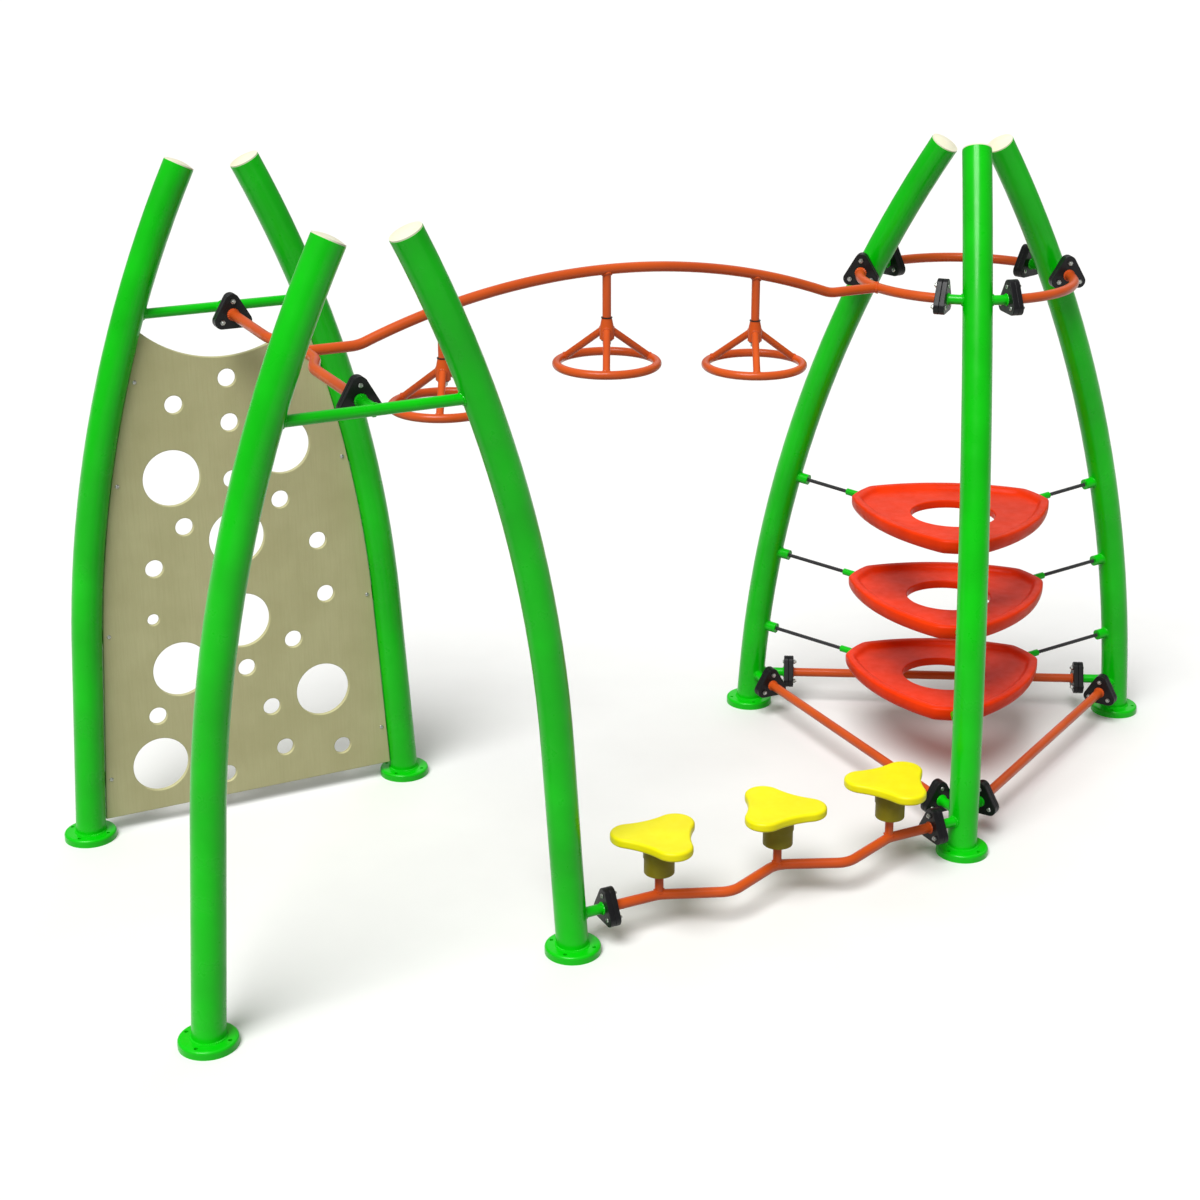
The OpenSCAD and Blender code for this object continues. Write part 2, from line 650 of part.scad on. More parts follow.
pod_outline = [for (k = [0 : 2]) each pod_third(k)];

boss_wall = 6;
boss_lid = 12;
stem_plate_d = 90;
stem_plate_t = 8;
pod_screw_r = 32;
pod_screw_d = 8;
pod_screw_l = 24;
pod_bottom = pod_top - pod_t;
boss_bottom = pod_bottom - boss_h;
module at_pod(k) { placed() translate([pod_x(k), step_y, 0]) rotate([0, 0, k == 0 ? 0 : 180]) children(); }
module pod_screw_holes(d, h) {
    for (i = [0 : 2]) rotate([0, 0, 120 * i]) translate([0, pod_screw_r, 0]) cylinder(h = h, d = d, $fn = 32);
}
module pod(k) {
    color(yellow) at_pod(k) difference() {
        translate([0, 0, pod_bottom]) linear_extrude(pod_t) polygon(pod_outline);
        translate([0, 0, pod_bottom - 1]) pod_screw_holes(pod_screw_d + 2 * thread_play, pod_screw_l + 1);
    }
}
module boss(k) {
    color(olive) at_pod(k) difference() {
        union() {
            translate([0, 0, boss_bottom]) cylinder(h = boss_h / 2, d = boss_d - 6, $fn = 96);
            translate([0, 0, boss_bottom + boss_h / 2]) cylinder(h = boss_h / 2, d = boss_d, $fn = 96);
        }
        translate([0, 0, boss_bottom + boss_lid]) cylinder(h = boss_h, d = boss_d - 6 - 2 * boss_wall, $fn = 96);
        translate([0, 0, boss_bottom - 1]) cylinder(h = boss_h, d = pod_stem_d + 2 * pin_play, $fn = 72);
    }
}
module pod_stems() {
    color(orange) for (k = [-1 : 1]) difference() {
        at_pod(k) difference() {
            union() {
                translate([0, 0, step_z]) cylinder(h = pod_bottom - step_z - 1, d = pod_stem_d, $fn = 72);
                translate([0, 0, pod_bottom - stem_plate_t]) cylinder(h = stem_plate_t, d = stem_plate_d, $fn = 72);
            }
            translate([0, 0, pod_bottom - stem_plate_t - 1])
                pod_screw_holes(pod_screw_d + 2 * pin_play, stem_plate_t + 2);
        }
        placed() translate([0, 0, step_z]) step_bend_rod(2 * k + 3);
        placed() translate([pod_x(k), step_y, 0]) cylinder(h = step_z, d = 2 * pod_stem_d);
    }
}
module pod_screws() {
    color(steel) for (k = [-1 : 1]) at_pod(k) translate([0, 0, pod_bottom - stem_plate_t]) {
        translate([0, 0, -5]) pod_screw_holes(14, 5);
        translate([0, 0, -eps]) pod_screw_holes(pod_screw_d, stem_plate_t + pod_screw_l - 3);
    }
}
module pod_left() { pod(-1); }
module pod_middle() { pod(0); }
module pod_right() { pod(1); }
module boss_left() { boss(-1); }
module boss_middle() { boss(0); }
module boss_right() { boss(1); }

// Dish: a ring with a bowl-shaped top, cut to a bulging triangle
dish_sharp = dish_side / (sqrt(3) - 1);
rim_flat_r = dish_side - 40;
dish_hole_r = dish_hole_d / 2;
insert_d = 28;
insert_l = 42;
ferrule_d = 28;
ferrule_l = 55;
stud_d = 12;
stud_l = 34;
lug_d = 44;
lug_l = 42;
rope_grip = 32;
dish_levels = [dish_low_z, dish_middle_z, dish_high_z];
dish_bottom_z = dish_rim_up - dish_rim_h;
module dish_blank() {
    rotate_extrude($fn = 192) polygon([
        [dish_hole_r, dish_bottom_z], [dish_reach, dish_bottom_z], [dish_reach, dish_rim_up],
        [rim_flat_r, dish_rim_up], [dish_hole_r, dish_bottom_z + dish_lip_h]]);
}
module dish(z) {
    color(red_orange) placed() difference() {
        translate([tripod_x, 0, z]) intersection() {
            dish_blank();
            for (a = tripod_angles) rotate([0, 0, a]) translate([dish_sharp, 0, -dish_rim_h])
                cylinder(h = 2 * dish_rim_h, r = dish_sharp + dish_side, $fn = 256);
        }
        for (a = tripod_angles) along_rope(a, z) translate([0, 0, rope_total(a, z) - 8])
            cylinder(h = insert_l + 8, d = insert_d, $fn = 48);
    }
}

// Ropes: each local frame starts on the post's axis and runs along its rope to the dish
function rope_post(a, z) = tripod_at(a, z + rope_rise);
function rope_dish(a, z) = [tripod_x + dish_reach * cos(a), dish_reach * sin(a), z];
function rope_total(a, z) = norm(rope_dish(a, z) - rope_post(a, z));
module along_rope(a, z) {
    v = unit(rope_dish(a, z) - rope_post(a, z));
    translate(rope_post(a, z)) rotate([0, acos(v[2]), heading(v)]) children();
}
module each_rope() { for (z = dish_levels) for (a = tripod_angles) placed() along_rope(a, z) children(); }
lug_end = post_r + lug_l;
module rope_lug(a, z) {
    along_rope(a, z) difference() {
        cylinder(h = lug_end, d = lug_d, $fn = 72);
        translate([0, 0, lug_end - rope_grip]) cylinder(h = rope_grip + 1, d = rope_d + 2 * pin_play, $fn = 48);
    }
}
module ropes(z) {
    color(black) placed() for (a = tripod_angles) along_rope(a, z)
        translate([0, 0, lug_end - rope_grip])
            cylinder(h = rope_total(a, z) - ferrule_l + rope_grip - lug_end + rope_grip, d = rope_d, $fn = 48);
}
module ropes_low() { ropes(dish_low_z); }
module ropes_middle() { ropes(dish_middle_z); }
module ropes_high() { ropes(dish_high_z); }
module rope_ferrules() {
    color(green) placed() for (z = dish_levels) for (a = tripod_angles) {
        difference() {
            along_rope(a, z) translate([0, 0, rope_total(a, z) - ferrule_l]) difference() {
                cylinder(h = ferrule_l + 8, d = ferrule_d, $fn = 72);
                translate([0, 0, -1]) cylinder(h = rope_grip + 1, d = rope_d + 2 * pin_play, $fn = 48);
            }
            translate([tripod_x, 0, z - big / 2]) cylinder(h = big, r = dish_reach, $fn = 192);
        }
        along_rope(a, z) translate([0, 0, rope_total(a, z) - 8]) cylinder(h = stud_l + 8, d = stud_d, $fn = 48);
    }
}
module dish_inserts() {
    color(steel) placed() for (z = dish_levels) for (a = tripod_angles) intersection() {
        along_rope(a, z) translate([0, 0, rope_total(a, z) - 8]) difference() {
            cylinder(h = insert_l + 8 - eps, d = insert_d - 2 * eps, $fn = 48);
            translate([0, 0, -1]) cylinder(h = stud_l + 8 + 2, d = stud_d + 2 * thread_play, $fn = 48);
        }
        translate([tripod_x, 0, z - big / 2]) cylinder(h = big, r = dish_reach, $fn = 192);
    }
}
module dish_low() { dish(dish_low_z); }
module dish_middle() { dish(dish_middle_z); }
module dish_high() { dish(dish_high_z); }

// Panel: X from the left foot and height of each hole's middle
panel_holds = [[421, 1413], [859, 1485], [658, 1140], [660, 797], [403, 638], [973, 444], [296, 253]];
panel_grips = [[658, 1777], [449, 1697], [658, 1603], [655, 1378], [839, 1270], [456, 1214], [982, 1079],
    [329, 1064], [1004, 852], [861, 682], [665, 596], [757, 410], [299, 459], [1044, 181], [803, 224],
    [560, 157]];
// One hole of the panel is smaller than the rest
panel_peep = [310, 859];
peep_d = 46;
tab_t = 6;
tab_h = 56;
tab_reach = 44;
tab_heights = [230, 820, 1410, 1800];
panel_bolt_d = 8;
panel_bolt_in = 22;
panel_head_d = 16;
panel_head_h = 4;
panel_nut_af = 13;
panel_nut_h = 7;
panel_high_z = high_z - bar_r - 26;
panel_steps = 16;
panel_side = [for (i = [0 : panel_steps]) let (z = panel_z + (panel_high_z - panel_z) * i / panel_steps)
    [bay_lean(z) + post_r + panel_gap, z]];
panel_outline = concat(panel_side, [for (i = [panel_steps : -1 : 0]) [bay_w - panel_side[i][0], panel_side[i][1]]]);
module panel_hole(p, d) {
    translate([p[0], bay_d / 2, p[1]]) rotate([90, 0, 0]) cylinder(h = 2 * panel_t, d = d, center = true, $fn = 96);
}
// Local frame of a panel bolt: on the panel's front face, pointing back through it
module at_panel_bolt(i, z) {
    in = bay_lean(z) + post_r + panel_gap + panel_bolt_in;
    translate([i == 0 ? in : bay_w - in, bay_d / 2 - panel_t / 2, z]) rotate([-90, 0, 0]) children();
}
module each_panel_bolt() { for (i = [0, 1]) for (z = tab_heights) at_panel_bolt(i, z) children(); }
module panel_tab(i, z) {
    reach = post_r + panel_gap + tab_reach;
    difference() {
        translate([i == 0 ? bay_lean(z) : bay_w - bay_lean(z) - reach, bay_d / 2 + panel_t / 2, z - tab_h / 2])
            cube([reach, tab_t, tab_h]);
        at_panel_bolt(i, z) cylinder(h = panel_t + 2 * tab_t, d = panel_bolt_d + 2 * pin_play, $fn = 32);
    }
}
module climbing_panel() {
    color(khaki) placed() difference() {
        translate([0, bay_d / 2 + panel_t / 2, 0]) rotate([90, 0, 0]) linear_extrude(panel_t) polygon(panel_outline);
        panel_hole([bay_w / 2, panel_top_z + panel_top_r], 2 * panel_top_r);
        for (p = panel_holds) panel_hole(p, hold_d);
        for (p = panel_grips) panel_hole(p, grip_d);
        panel_hole(panel_peep, peep_d);
        each_panel_bolt() translate([0, 0, -1]) cylinder(h = 2 * panel_t, d = panel_bolt_d + 2 * pin_play, $fn = 32);
    }
}
module panel_screws() {
    color(steel) placed() each_panel_bolt() {
        translate([0, 0, -panel_head_h]) cylinder(h = panel_head_h, d = panel_head_d, $fn = 48);
        translate([0, 0, -eps]) cylinder(h = panel_t + tab_t + panel_nut_h + 3, d = panel_bolt_d, $fn = 32);
    }
}
module panel_nuts() {
    color(steel) placed() each_panel_bolt() translate([0, 0, panel_t + tab_t]) difference() {
        cylinder(h = panel_nut_h, d = panel_nut_af / cos(30), $fn = 6);
        translate([0, 0, -1]) cylinder(h = panel_nut_h + 2, d = panel_bolt_d + 2 * thread_play, $fn = 32);
    }
}

module post_back_left() { color(green) bay_post(0); }
module post_back_right() { color(green) bay_post(1); }
module post_front_left() { color(green) bay_post(2); }
module post_front_right() { color(green) bay_post(3); }
module tripod_post_back() { color(green) tripod_post(120); }
module tripod_post_front() { color(green) tripod_post(-120); }
module tripod_post_right() {
    color(green) translate([tripod_x - mid_x, -mid_y, 0]) rotate([0, 0, -120])
        translate([mid_x - tripod_x, mid_y, 0]) tripod_post(120);
}

post_back_left();
post_back_right();
post_front_left();
post_front_right();
tripod_post_back();
tripod_post_front();
tripod_post_right();
post_caps();
tie_rod_back();
tie_rod_front();
crossbar();
overhead_rail();
ring_arc_left();
ring_arc_back();
ring_arc_front();
low_bar_left();
low_bar_back();
low_bar_front();
step_rail();
high_flanges();
ring_flanges();
low_flanges();
flange_bolts();
flange_nuts();
stem_left();
stem_middle();
stem_right();
wheel_left();
wheel_middle();
wheel_right();
bushes_left();
bushes_middle();
bushes_right();
spindle_nut_left();
spindle_nut_middle();
spindle_nut_right();
pod_left();
pod_middle();
pod_right();
boss_left();
boss_middle();
boss_right();
pod_stems();
pod_screws();
dish_low();
dish_middle();
dish_high();
ropes_low();
ropes_middle();
ropes_high();
rope_ferrules();
dish_inserts();
climbing_panel();
panel_screws();
panel_nuts();
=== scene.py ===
"""Looks of a composite playground climber: green tube posts, orange rails, hanging dishes.

Every piece is in metres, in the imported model's own frame, at rest.
"""

import logging
import math
from collections.abc import Callable, Iterable, Mapping, Sequence
from dataclasses import dataclass
from enum import Enum

import bmesh
import bpy
from mathutils import Matrix, Vector


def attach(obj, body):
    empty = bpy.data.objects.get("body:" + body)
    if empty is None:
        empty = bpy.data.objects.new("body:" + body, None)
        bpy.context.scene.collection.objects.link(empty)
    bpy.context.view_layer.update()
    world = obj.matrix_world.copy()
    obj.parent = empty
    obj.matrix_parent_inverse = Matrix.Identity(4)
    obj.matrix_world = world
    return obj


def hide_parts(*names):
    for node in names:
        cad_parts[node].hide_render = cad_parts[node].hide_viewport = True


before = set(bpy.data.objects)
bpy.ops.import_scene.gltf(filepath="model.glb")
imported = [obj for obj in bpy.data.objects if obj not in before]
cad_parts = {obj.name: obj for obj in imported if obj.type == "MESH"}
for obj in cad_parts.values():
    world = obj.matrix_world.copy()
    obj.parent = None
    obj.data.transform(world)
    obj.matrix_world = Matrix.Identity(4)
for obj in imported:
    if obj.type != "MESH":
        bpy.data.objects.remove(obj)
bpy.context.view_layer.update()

log = logging.getLogger("climber")

MM = 0.001
X_AXIS = Vector((1.0, 0.0, 0.0))
Y_AXIS = Vector((0.0, 1.0, 0.0))
Z_AXIS = Vector((0.0, 0.0, 1.0))
ROOT = "frame"


# ---------------------------------------------------------------- finishes


def linear(code: str, gain: float = 1.0) -> tuple[float, float, float, float]:
    """Turns an sRGB hex colour into the linear colour that a shader takes.

    Args:
        code: Six hex digits, with or without a leading #.
        gain: Factor on the linear values.

    Returns:
        Red, green, blue and an alpha of 1.
    """
    digits = code.lstrip("#")
    values = []
    for start in (0, 2, 4):
        value = int(digits[start : start + 2], 16) / 255.0
        value = value / 12.92 if value <= 0.04045 else ((value + 0.055) / 1.055) ** 2.4
        values.append(min(1.0, value * gain))
    return (values[0], values[1], values[2], 1.0)


def add_node(
    tree: bpy.types.NodeTree,
    kind: str,
    inputs: Mapping[str | int, object] | None = None,
    **settings: object,
) -> bpy.types.Node:
    """Adds one shader node, with its settings made and its inputs set or linked.

    Args:
        tree: The node tree that gets the node.
        kind: Blender's name for the node's type.
        inputs: Values or sockets, by input name or number.
        **settings: Properties of the node itself.

    Returns:
        The new node.
    """
    made = tree.nodes.new(kind)
    for name, value in settings.items():
        setattr(made, name, value)
    for key, value in (inputs or {}).items():
        socket = made.inputs[key]
        if isinstance(value, bpy.types.NodeSocket):
            tree.links.new(value, socket)
        else:
            socket.default_value = value
    return made


class Surface:
    """The node tree of one material, with the patterns that the finishes share."""

    def __init__(self, name: str) -> None:
        """Starts an empty material with a shader, an output and object coordinates."""
        self.material = bpy.data.materials.new(name)
        self.material.use_nodes = True
        self.tree = self.material.node_tree
        self.tree.nodes.clear()
        self.shader = add_node(self.tree, "ShaderNodeBsdfPrincipled")
        output = add_node(self.tree, "ShaderNodeOutputMaterial")
        self.tree.links.new(self.shader.outputs["BSDF"], output.inputs["Surface"])
        self.place = add_node(self.tree, "ShaderNodeTexCoord").outputs["Object"]

    def set(self, **values: object) -> None:
        """Sets shader inputs by name, with _ for a space and capitals kept as given."""
        for name, value in values.items():
            self.shader.inputs[name.replace("_", " ")].default_value = value

    def link(self, name: str, socket: bpy.types.NodeSocket) -> None:
        """Links a socket to one of the shader's inputs."""
        self.tree.links.new(socket, self.shader.inputs[name])

    def noise(
        self,
        size_mm: float,
        detail: float = 3.0,
        stretch: tuple[float, float, float] = (1.0, 1.0, 1.0),
    ) -> bpy.types.NodeSocket:
        """Returns a noise between 0 and 1 whose blobs are about size_mm across."""
        mapped = add_node(
            self.tree, "ShaderNodeMapping", {"Vector": self.place, "Scale": stretch}
        )
        return add_node(
            self.tree,
            "ShaderNodeTexNoise",
            {"Vector": mapped.outputs[0], "Scale": 1.0 / (size_mm * MM), "Detail": detail},
        ).outputs[0]

    def span(
        self,
        value: bpy.types.NodeSocket,
        low: float,
        high: float,
        start: float = 0.3,
        end: float = 0.7,
    ) -> bpy.types.NodeSocket:
        """Returns value, from start to end, spread over low to high."""
        return add_node(
            self.tree,
            "ShaderNodeMapRange",
            {
                "Value": value,
                "From Min": start,
                "From Max": end,
                "To Min": low,
                "To Max": high,
            },
        ).outputs[0]

    def mix(
        self,
        amount: bpy.types.NodeSocket,
        first: object,
        second: object,
    ) -> bpy.types.NodeSocket:
        """Returns a colour that goes from first to second as amount goes from 0 to 1."""
        return add_node(
            self.tree,
            "ShaderNodeMix",
            {0: amount, 6: first, 7: second},
            data_type="RGBA",
        ).outputs[2]

    def bump(
        self,
        height: bpy.types.NodeSocket,
        depth_mm: float,
        strength: float = 1.0,
        under: bpy.types.NodeSocket | None = None,
    ) -> bpy.types.NodeSocket:
        """Returns a normal that height raises by up to depth_mm."""
        inputs = {"Height": height, "Distance": depth_mm * MM, "Strength": strength}
        if under is not None:
            inputs["Normal"] = under
        return add_node(self.tree, "ShaderNodeBump", inputs).outputs[0]


@dataclass(frozen=True)
class Finish:
    """A finish that several pieces share.

    Attributes:
        name: The material's name, after the real material.
        slot: The record's material slot; not used.
        colour: Main colour, as sRGB hex.
        roughness: Mean roughness.
    """

    name: str
    slot: str
    colour: str
    roughness: float

    def material(self) -> bpy.types.Material:
        """Returns the material, made on first use."""
        made = bpy.data.materials.get(self.name)
        if made is None:
            surface = Surface(self.name)
            self.dress(surface)
            made = surface.material
            made.diffuse_color = linear(self.colour)
        return made

    def dress(self, surface: Surface) -> None:
        """Builds the finish's patterns on a new surface."""
        raise NotImplementedError


@dataclass(frozen=True)
class PowderCoat(Finish):
    """Polyester powder coat, sprayed and stoved: an even gloss over a faint orange peel.

    Attributes:
        shade: Colour of the thinner, duller patches.
        peel_mm: Width of the orange peel's cells, drawn coarse so that it shows.
        peel_depth_mm: Depth of that peel.
        coat: Weight of the clear, levelled top of the film.
        shine: Specular level of the pigmented film under it.
    """

    shade: str = "#000000"
    peel_mm: float = 7.0
    peel_depth_mm: float = 0.12
    coat: float = 0.15
    shine: float = 0.22

    def dress(self, surface: Surface) -> None:
        """Builds slow patches in the film's colour and gloss, and the peel."""
        patch = surface.span(surface.noise(260.0), 0.0, 1.0)
        dust = surface.span(surface.noise(18.0, 6.0), 0.0, 0.1, 0.45, 0.8)
        film = surface.mix(patch, linear(self.colour), linear(self.shade))
        surface.link("Base Color", surface.mix(dust, film, linear(self.shade)))
        surface.link(
            "Roughness",
            surface.span(surface.noise(70.0), self.roughness - 0.05, self.roughness + 0.08),
        )
        surface.link(
            "Normal", surface.bump(surface.noise(self.peel_mm, 2.0), self.peel_depth_mm, 0.5)
        )
        surface.set(
            IOR=1.5,
            Specular_IOR_Level=self.shine,
            Coat_Weight=self.coat,
            Coat_Roughness=0.12,
        )


@dataclass(frozen=True)
class Moulded(Finish):
    """Moulded polyethylene or nylon: soft sheen, a sand-like grain and slow clouds of colour.

    Attributes:
        shade: Colour of the darker clouds.
        grain_mm: Size of the mould's grain, drawn coarse so that it shows.
        grain_depth_mm: Depth of that grain.
        glow: Share of light that the plastic scatters inside.
        wave_mm: Size of the slow waves where the wall has sunk.
        wave_depth_mm: Depth of those waves.
        shine: Specular level of the skin.
    """

    shade: str = "#000000"
    grain_mm: float = 3.0
    grain_depth_mm: float = 0.15
    glow: float = 0.06
    wave_mm: float = 120.0
    wave_depth_mm: float = 0.5
    shine: float = 0.25

    def dress(self, surface: Surface) -> None:
        """Builds the clouds, the sunk waves and the grain."""
        cloud = surface.span(surface.noise(140.0, 4.0), 0.0, 1.0)
        surface.link(
            "Base Color", surface.mix(cloud, linear(self.colour), linear(self.shade))
        )
        surface.link(
            "Roughness",
            surface.span(surface.noise(35.0), self.roughness - 0.06, self.roughness + 0.08),
        )
        waves = surface.bump(surface.noise(self.wave_mm, 1.0), self.wave_depth_mm, 0.6)
        surface.link(
            "Normal",
            surface.bump(surface.noise(self.grain_mm, 3.0), self.grain_depth_mm, 0.6, waves),
        )
        surface.set(
            IOR=1.51,
            Specular_IOR_Level=self.shine,
            Subsurface_Weight=self.glow,
            Subsurface_Radius=(0.6, 0.4, 0.3),
            Subsurface_Scale=0.004,
        )


@dataclass(frozen=True)
class GrainedSheet(Finish):
    """Extruded polyethylene sheet: a leather-like emboss, fine drag lines and dusty hollows.

    Attributes:
        shade: Colour of the dust in the emboss and of the darker patches.
        grain_mm: Size of the emboss, drawn coarse so that it shows.
    """

    shade: str = "#000000"
    grain_mm: float = 9.0

    def dress(self, surface: Surface) -> None:
        """Builds the emboss, the drag lines and the dust."""
        cells = add_node(
            surface.tree,
            "ShaderNodeTexVoronoi",
            {"Vector": surface.place, "Scale": 1.0 / (self.grain_mm * MM)},
            feature="SMOOTH_F1",
        ).outputs["Distance"]
        drag = surface.noise(5.0, 3.0, (1.0, 1.0, 0.04))
        patch = surface.span(surface.noise(220.0, 5.0), 0.0, 0.8)
        dust = surface.span(drag, 0.0, 0.35, 0.4, 0.75)
        base = surface.mix(patch, linear(self.colour), linear(self.shade))
        surface.link("Base Color", surface.mix(dust, base, linear(self.shade)))
        surface.link(
            "Roughness", surface.span(drag, self.roughness - 0.05, self.roughness + 0.08)
        )
        lines = surface.bump(drag, 0.15, 0.4)
        surface.link("Normal", surface.bump(cells, 0.45, 0.5, lines))
        surface.set(IOR=1.5)


@dataclass(frozen=True)
class ZincPlate(Finish):
    """Zinc-plated steel: bright grey with a cloudy passivation and fine turning lines."""

    shade: str = "#8d8f86"

    def dress(self, surface: Surface) -> None:
        """Builds the clouds of passivation and the fine lines."""
        cloud = surface.span(surface.noise(9.0, 4.0), 0.0, 1.0)
        surface.link(
            "Base Color", surface.mix(cloud, linear(self.colour), linear(self.shade))
        )
        surface.link(
            "Roughness",
            surface.span(surface.noise(4.0), self.roughness - 0.06, self.roughness + 0.1),
        )
        surface.link("Normal", surface.bump(surface.noise(2.5, 2.0), 0.05, 0.5))
        surface.set(Metallic=1.0)


@dataclass(frozen=True)
class RopeYarn(Finish):
    """Twisted polyester strands over steel: matt black with fuzzy, slightly grey yarns."""

    shade: str = "#33343a"
    yarn_mm: float = 2.0

    def dress(self, surface: Surface) -> None:
        """Builds the yarns' colour and their fuzzy relief."""
        yarn = surface.noise(self.yarn_mm, 4.0)
        surface.link(
            "Base Color",
            surface.mix(
                surface.span(yarn, 0.0, 1.0, 0.4, 0.8),
                linear(self.colour),
                linear(self.shade),
            ),
        )
        surface.link("Normal", surface.bump(yarn, 0.5, 0.8))
        surface.set(Roughness=self.roughness, Sheen_Weight=0.35, Sheen_Roughness=0.5)


GREEN = PowderCoat(
    "green_polyester_powder_coat", "green_coat", "#06d20a", 0.30, shade="#05bc08"
)
ORANGE = PowderCoat(
    "orange_polyester_powder_coat", "orange_coat", "#db5b1c", 0.34, shade="#c84e18"
)
BLACK = PowderCoat(
    "black_epoxy_powder_coat", "black_coat", "#0d0d0e", 0.42, shade="#17171a", coat=0.1
)
CREAM = Moulded(
    "cream_moulded_polypropylene", "cap_plastic", "#f6f3dc", 0.5, shade="#ece7c8"
)
BUSH = Moulded(
    "black_turned_acetal", "bush_plastic", "#1b1b1c", 0.4, shade="#242425", glow=0.0
)
YELLOW = Moulded(
    "yellow_rotomoulded_polyethylene", "pod_plastic", "#fbf308", 0.38, shade="#f2e406"
)
# The collars are the pods' yellow plastic; this darker olive colour is painted shade from the pod
# above.
PAINTED_SHADE_YELLOW = Moulded(
    "yellow_polyethylene_with_painted_shade", "boss_plastic", "#8f8410", 0.5, shade="#7a6f0c"
)
RED = Moulded(
    "orange_red_rotomoulded_polyethylene",
    "dish_plastic",
    "#fb3c04",
    0.4,
    shade="#e73403",
    glow=0.02,
    shine=0.12,
    wave_mm=90.0,
    wave_depth_mm=1.2,
)
KHAKI = GrainedSheet(
    "khaki_embossed_polyethylene_sheet", "panel_plastic", "#cfcb9a", 0.55, shade="#bdb886"
)
ZINC = ZincPlate("zinc_plated_steel", "fastener_steel", "#c3c5c4", 0.34)
ROPE = RopeYarn("black_polyester_rope", "rope_sheath", "#141416", 0.85)


# ---------------------------------------------------------------- mesh work

Loop = list[Vector]


class Edge(Enum):
    """How the hard edges of a copied solid are finished."""

    SHARP = 0.0
    FINE = 0.6 * MM
    SOFT = 1.5 * MM


def finish_piece(
    work: bmesh.types.BMesh,
    name: str,
    finish: Finish,
    nodes: Sequence[str] = (),
    body: str = ROOT,
    crease: float = 35.0,
    even: bool = False,
) -> bpy.types.Object:
    """Turns a worked mesh into a piece that rides on a body.

    Args:
        work: The mesh, which is freed.
        name: The piece's name.
        finish: Its finish.
        nodes: Solids that it stands for.
        body: The body that it rides on.
        crease: Edges that bend more than this many degrees stay crisp.
        even: Whether large flat faces keep flat shading beside rounded edges.

    Returns:
        The piece.
    """
    for face in work.faces:
        face.smooth = True
    limit = math.radians(crease)
    for edge in work.edges:
        edge.smooth = edge.calc_face_angle(0.0) < limit
    mesh = bpy.data.meshes.new(name)
    work.to_mesh(mesh)
    work.free()
    mesh.materials.append(finish.material())
    piece = bpy.data.objects.new(name, mesh)
    bpy.context.scene.collection.objects.link(piece)
    if even:
        shading = piece.modifiers.new("even_shading", "WEIGHTED_NORMAL")
        shading.keep_sharp = True
    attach(piece, body)
    if nodes:
        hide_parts(*nodes)
    log.info("%s: %d faces, %s", name, len(mesh.polygons), finish.name)
    return piece


def add_copy(target: bmesh.types.BMesh, part: bmesh.types.BMesh, place: Matrix) -> None:
    """Adds a copy of one worked mesh to another, at a place."""
    mesh = bpy.data.meshes.new("copy")
    part.to_mesh(mesh)
    mesh.transform(place)
    if place.determinant() < 0.0:
        mesh.flip_normals()
    target.from_mesh(mesh)
    bpy.data.meshes.remove(mesh)


def facing(origin: Vector, direction: Vector, upright: Vector = Z_AXIS) -> Matrix:
    """Returns the place whose Z runs along direction and whose Y is as near upright as it can be.

    Args:
        origin: Where the place's origin goes.
        direction: Where its Z axis points.
        upright: What its Y axis leans towards.

    Returns:
        The placing matrix.
    """
    z = direction.normalized()
    if abs(z.dot(upright)) > 0.999:
        upright = X_AXIS
    x = upright.cross(z).normalized()
    y = z.cross(x)
    place = Matrix((x, y, z)).transposed().to_4x4()
    place.translation = origin
    return place


def solid_copy(node: str, edge: Edge = Edge.SHARP) -> bmesh.types.BMesh:
    """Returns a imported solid's mesh with its triangles joined, and its hard edges eased.

    Args:
        node: The solid's name.
        edge: How far its hard edges are eased.

    Returns:
        The worked mesh.
    """
    work = bmesh.new()
    work.from_mesh(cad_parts[node].data)
    bmesh.ops.remove_doubles(work, verts=work.verts, dist=0.02 * MM)
    bmesh.ops.dissolve_degenerate(work, edges=work.edges, dist=0.01 * MM)
    if edge is not Edge.SHARP:
        bmesh.ops.dissolve_limit(
            work, angle_limit=math.radians(0.5), verts=work.verts, edges=work.edges
        )
        hard = [e for e in work.edges if e.calc_face_angle(0.0) > math.radians(40.0)]
        bmesh.ops.bevel(
            work,
            geom=hard,
            offset=edge.value,
            offset_type="OFFSET",
            segments=2,
            profile=0.5,
            affect="EDGES",
            material=-1,
            clamp_overlap=True,
        )
        bmesh.ops.triangulate(work, faces=[f for f in work.faces if len(f.verts) > 4])
    return work


def spun(profile: Sequence[tuple[float, float]], steps: int = 64) -> bmesh.types.BMesh:
    """Returns a turned shape about Z.

    Args:
        profile: Radius and height of each point, in order.
        steps: Steps in the full turn.

    Returns:
        The worked mesh.
    """
    work = bmesh.new()
    points = [work.verts.new((radius, 0.0, height)) for radius, height in profile]
    edges = [work.edges.new(pair) for pair in zip(points, points[1:])]
    bmesh.ops.spin(
        work,
        geom=points + edges,
        cent=(0.0, 0.0, 0.0),
        axis=Z_AXIS,
        angle=math.tau,
        steps=steps,
        use_merge=True,
    )
    bmesh.ops.remove_doubles(work, verts=work.verts, dist=0.001 * MM)
    bmesh.ops.recalc_face_normals(work, faces=work.faces)
    return work


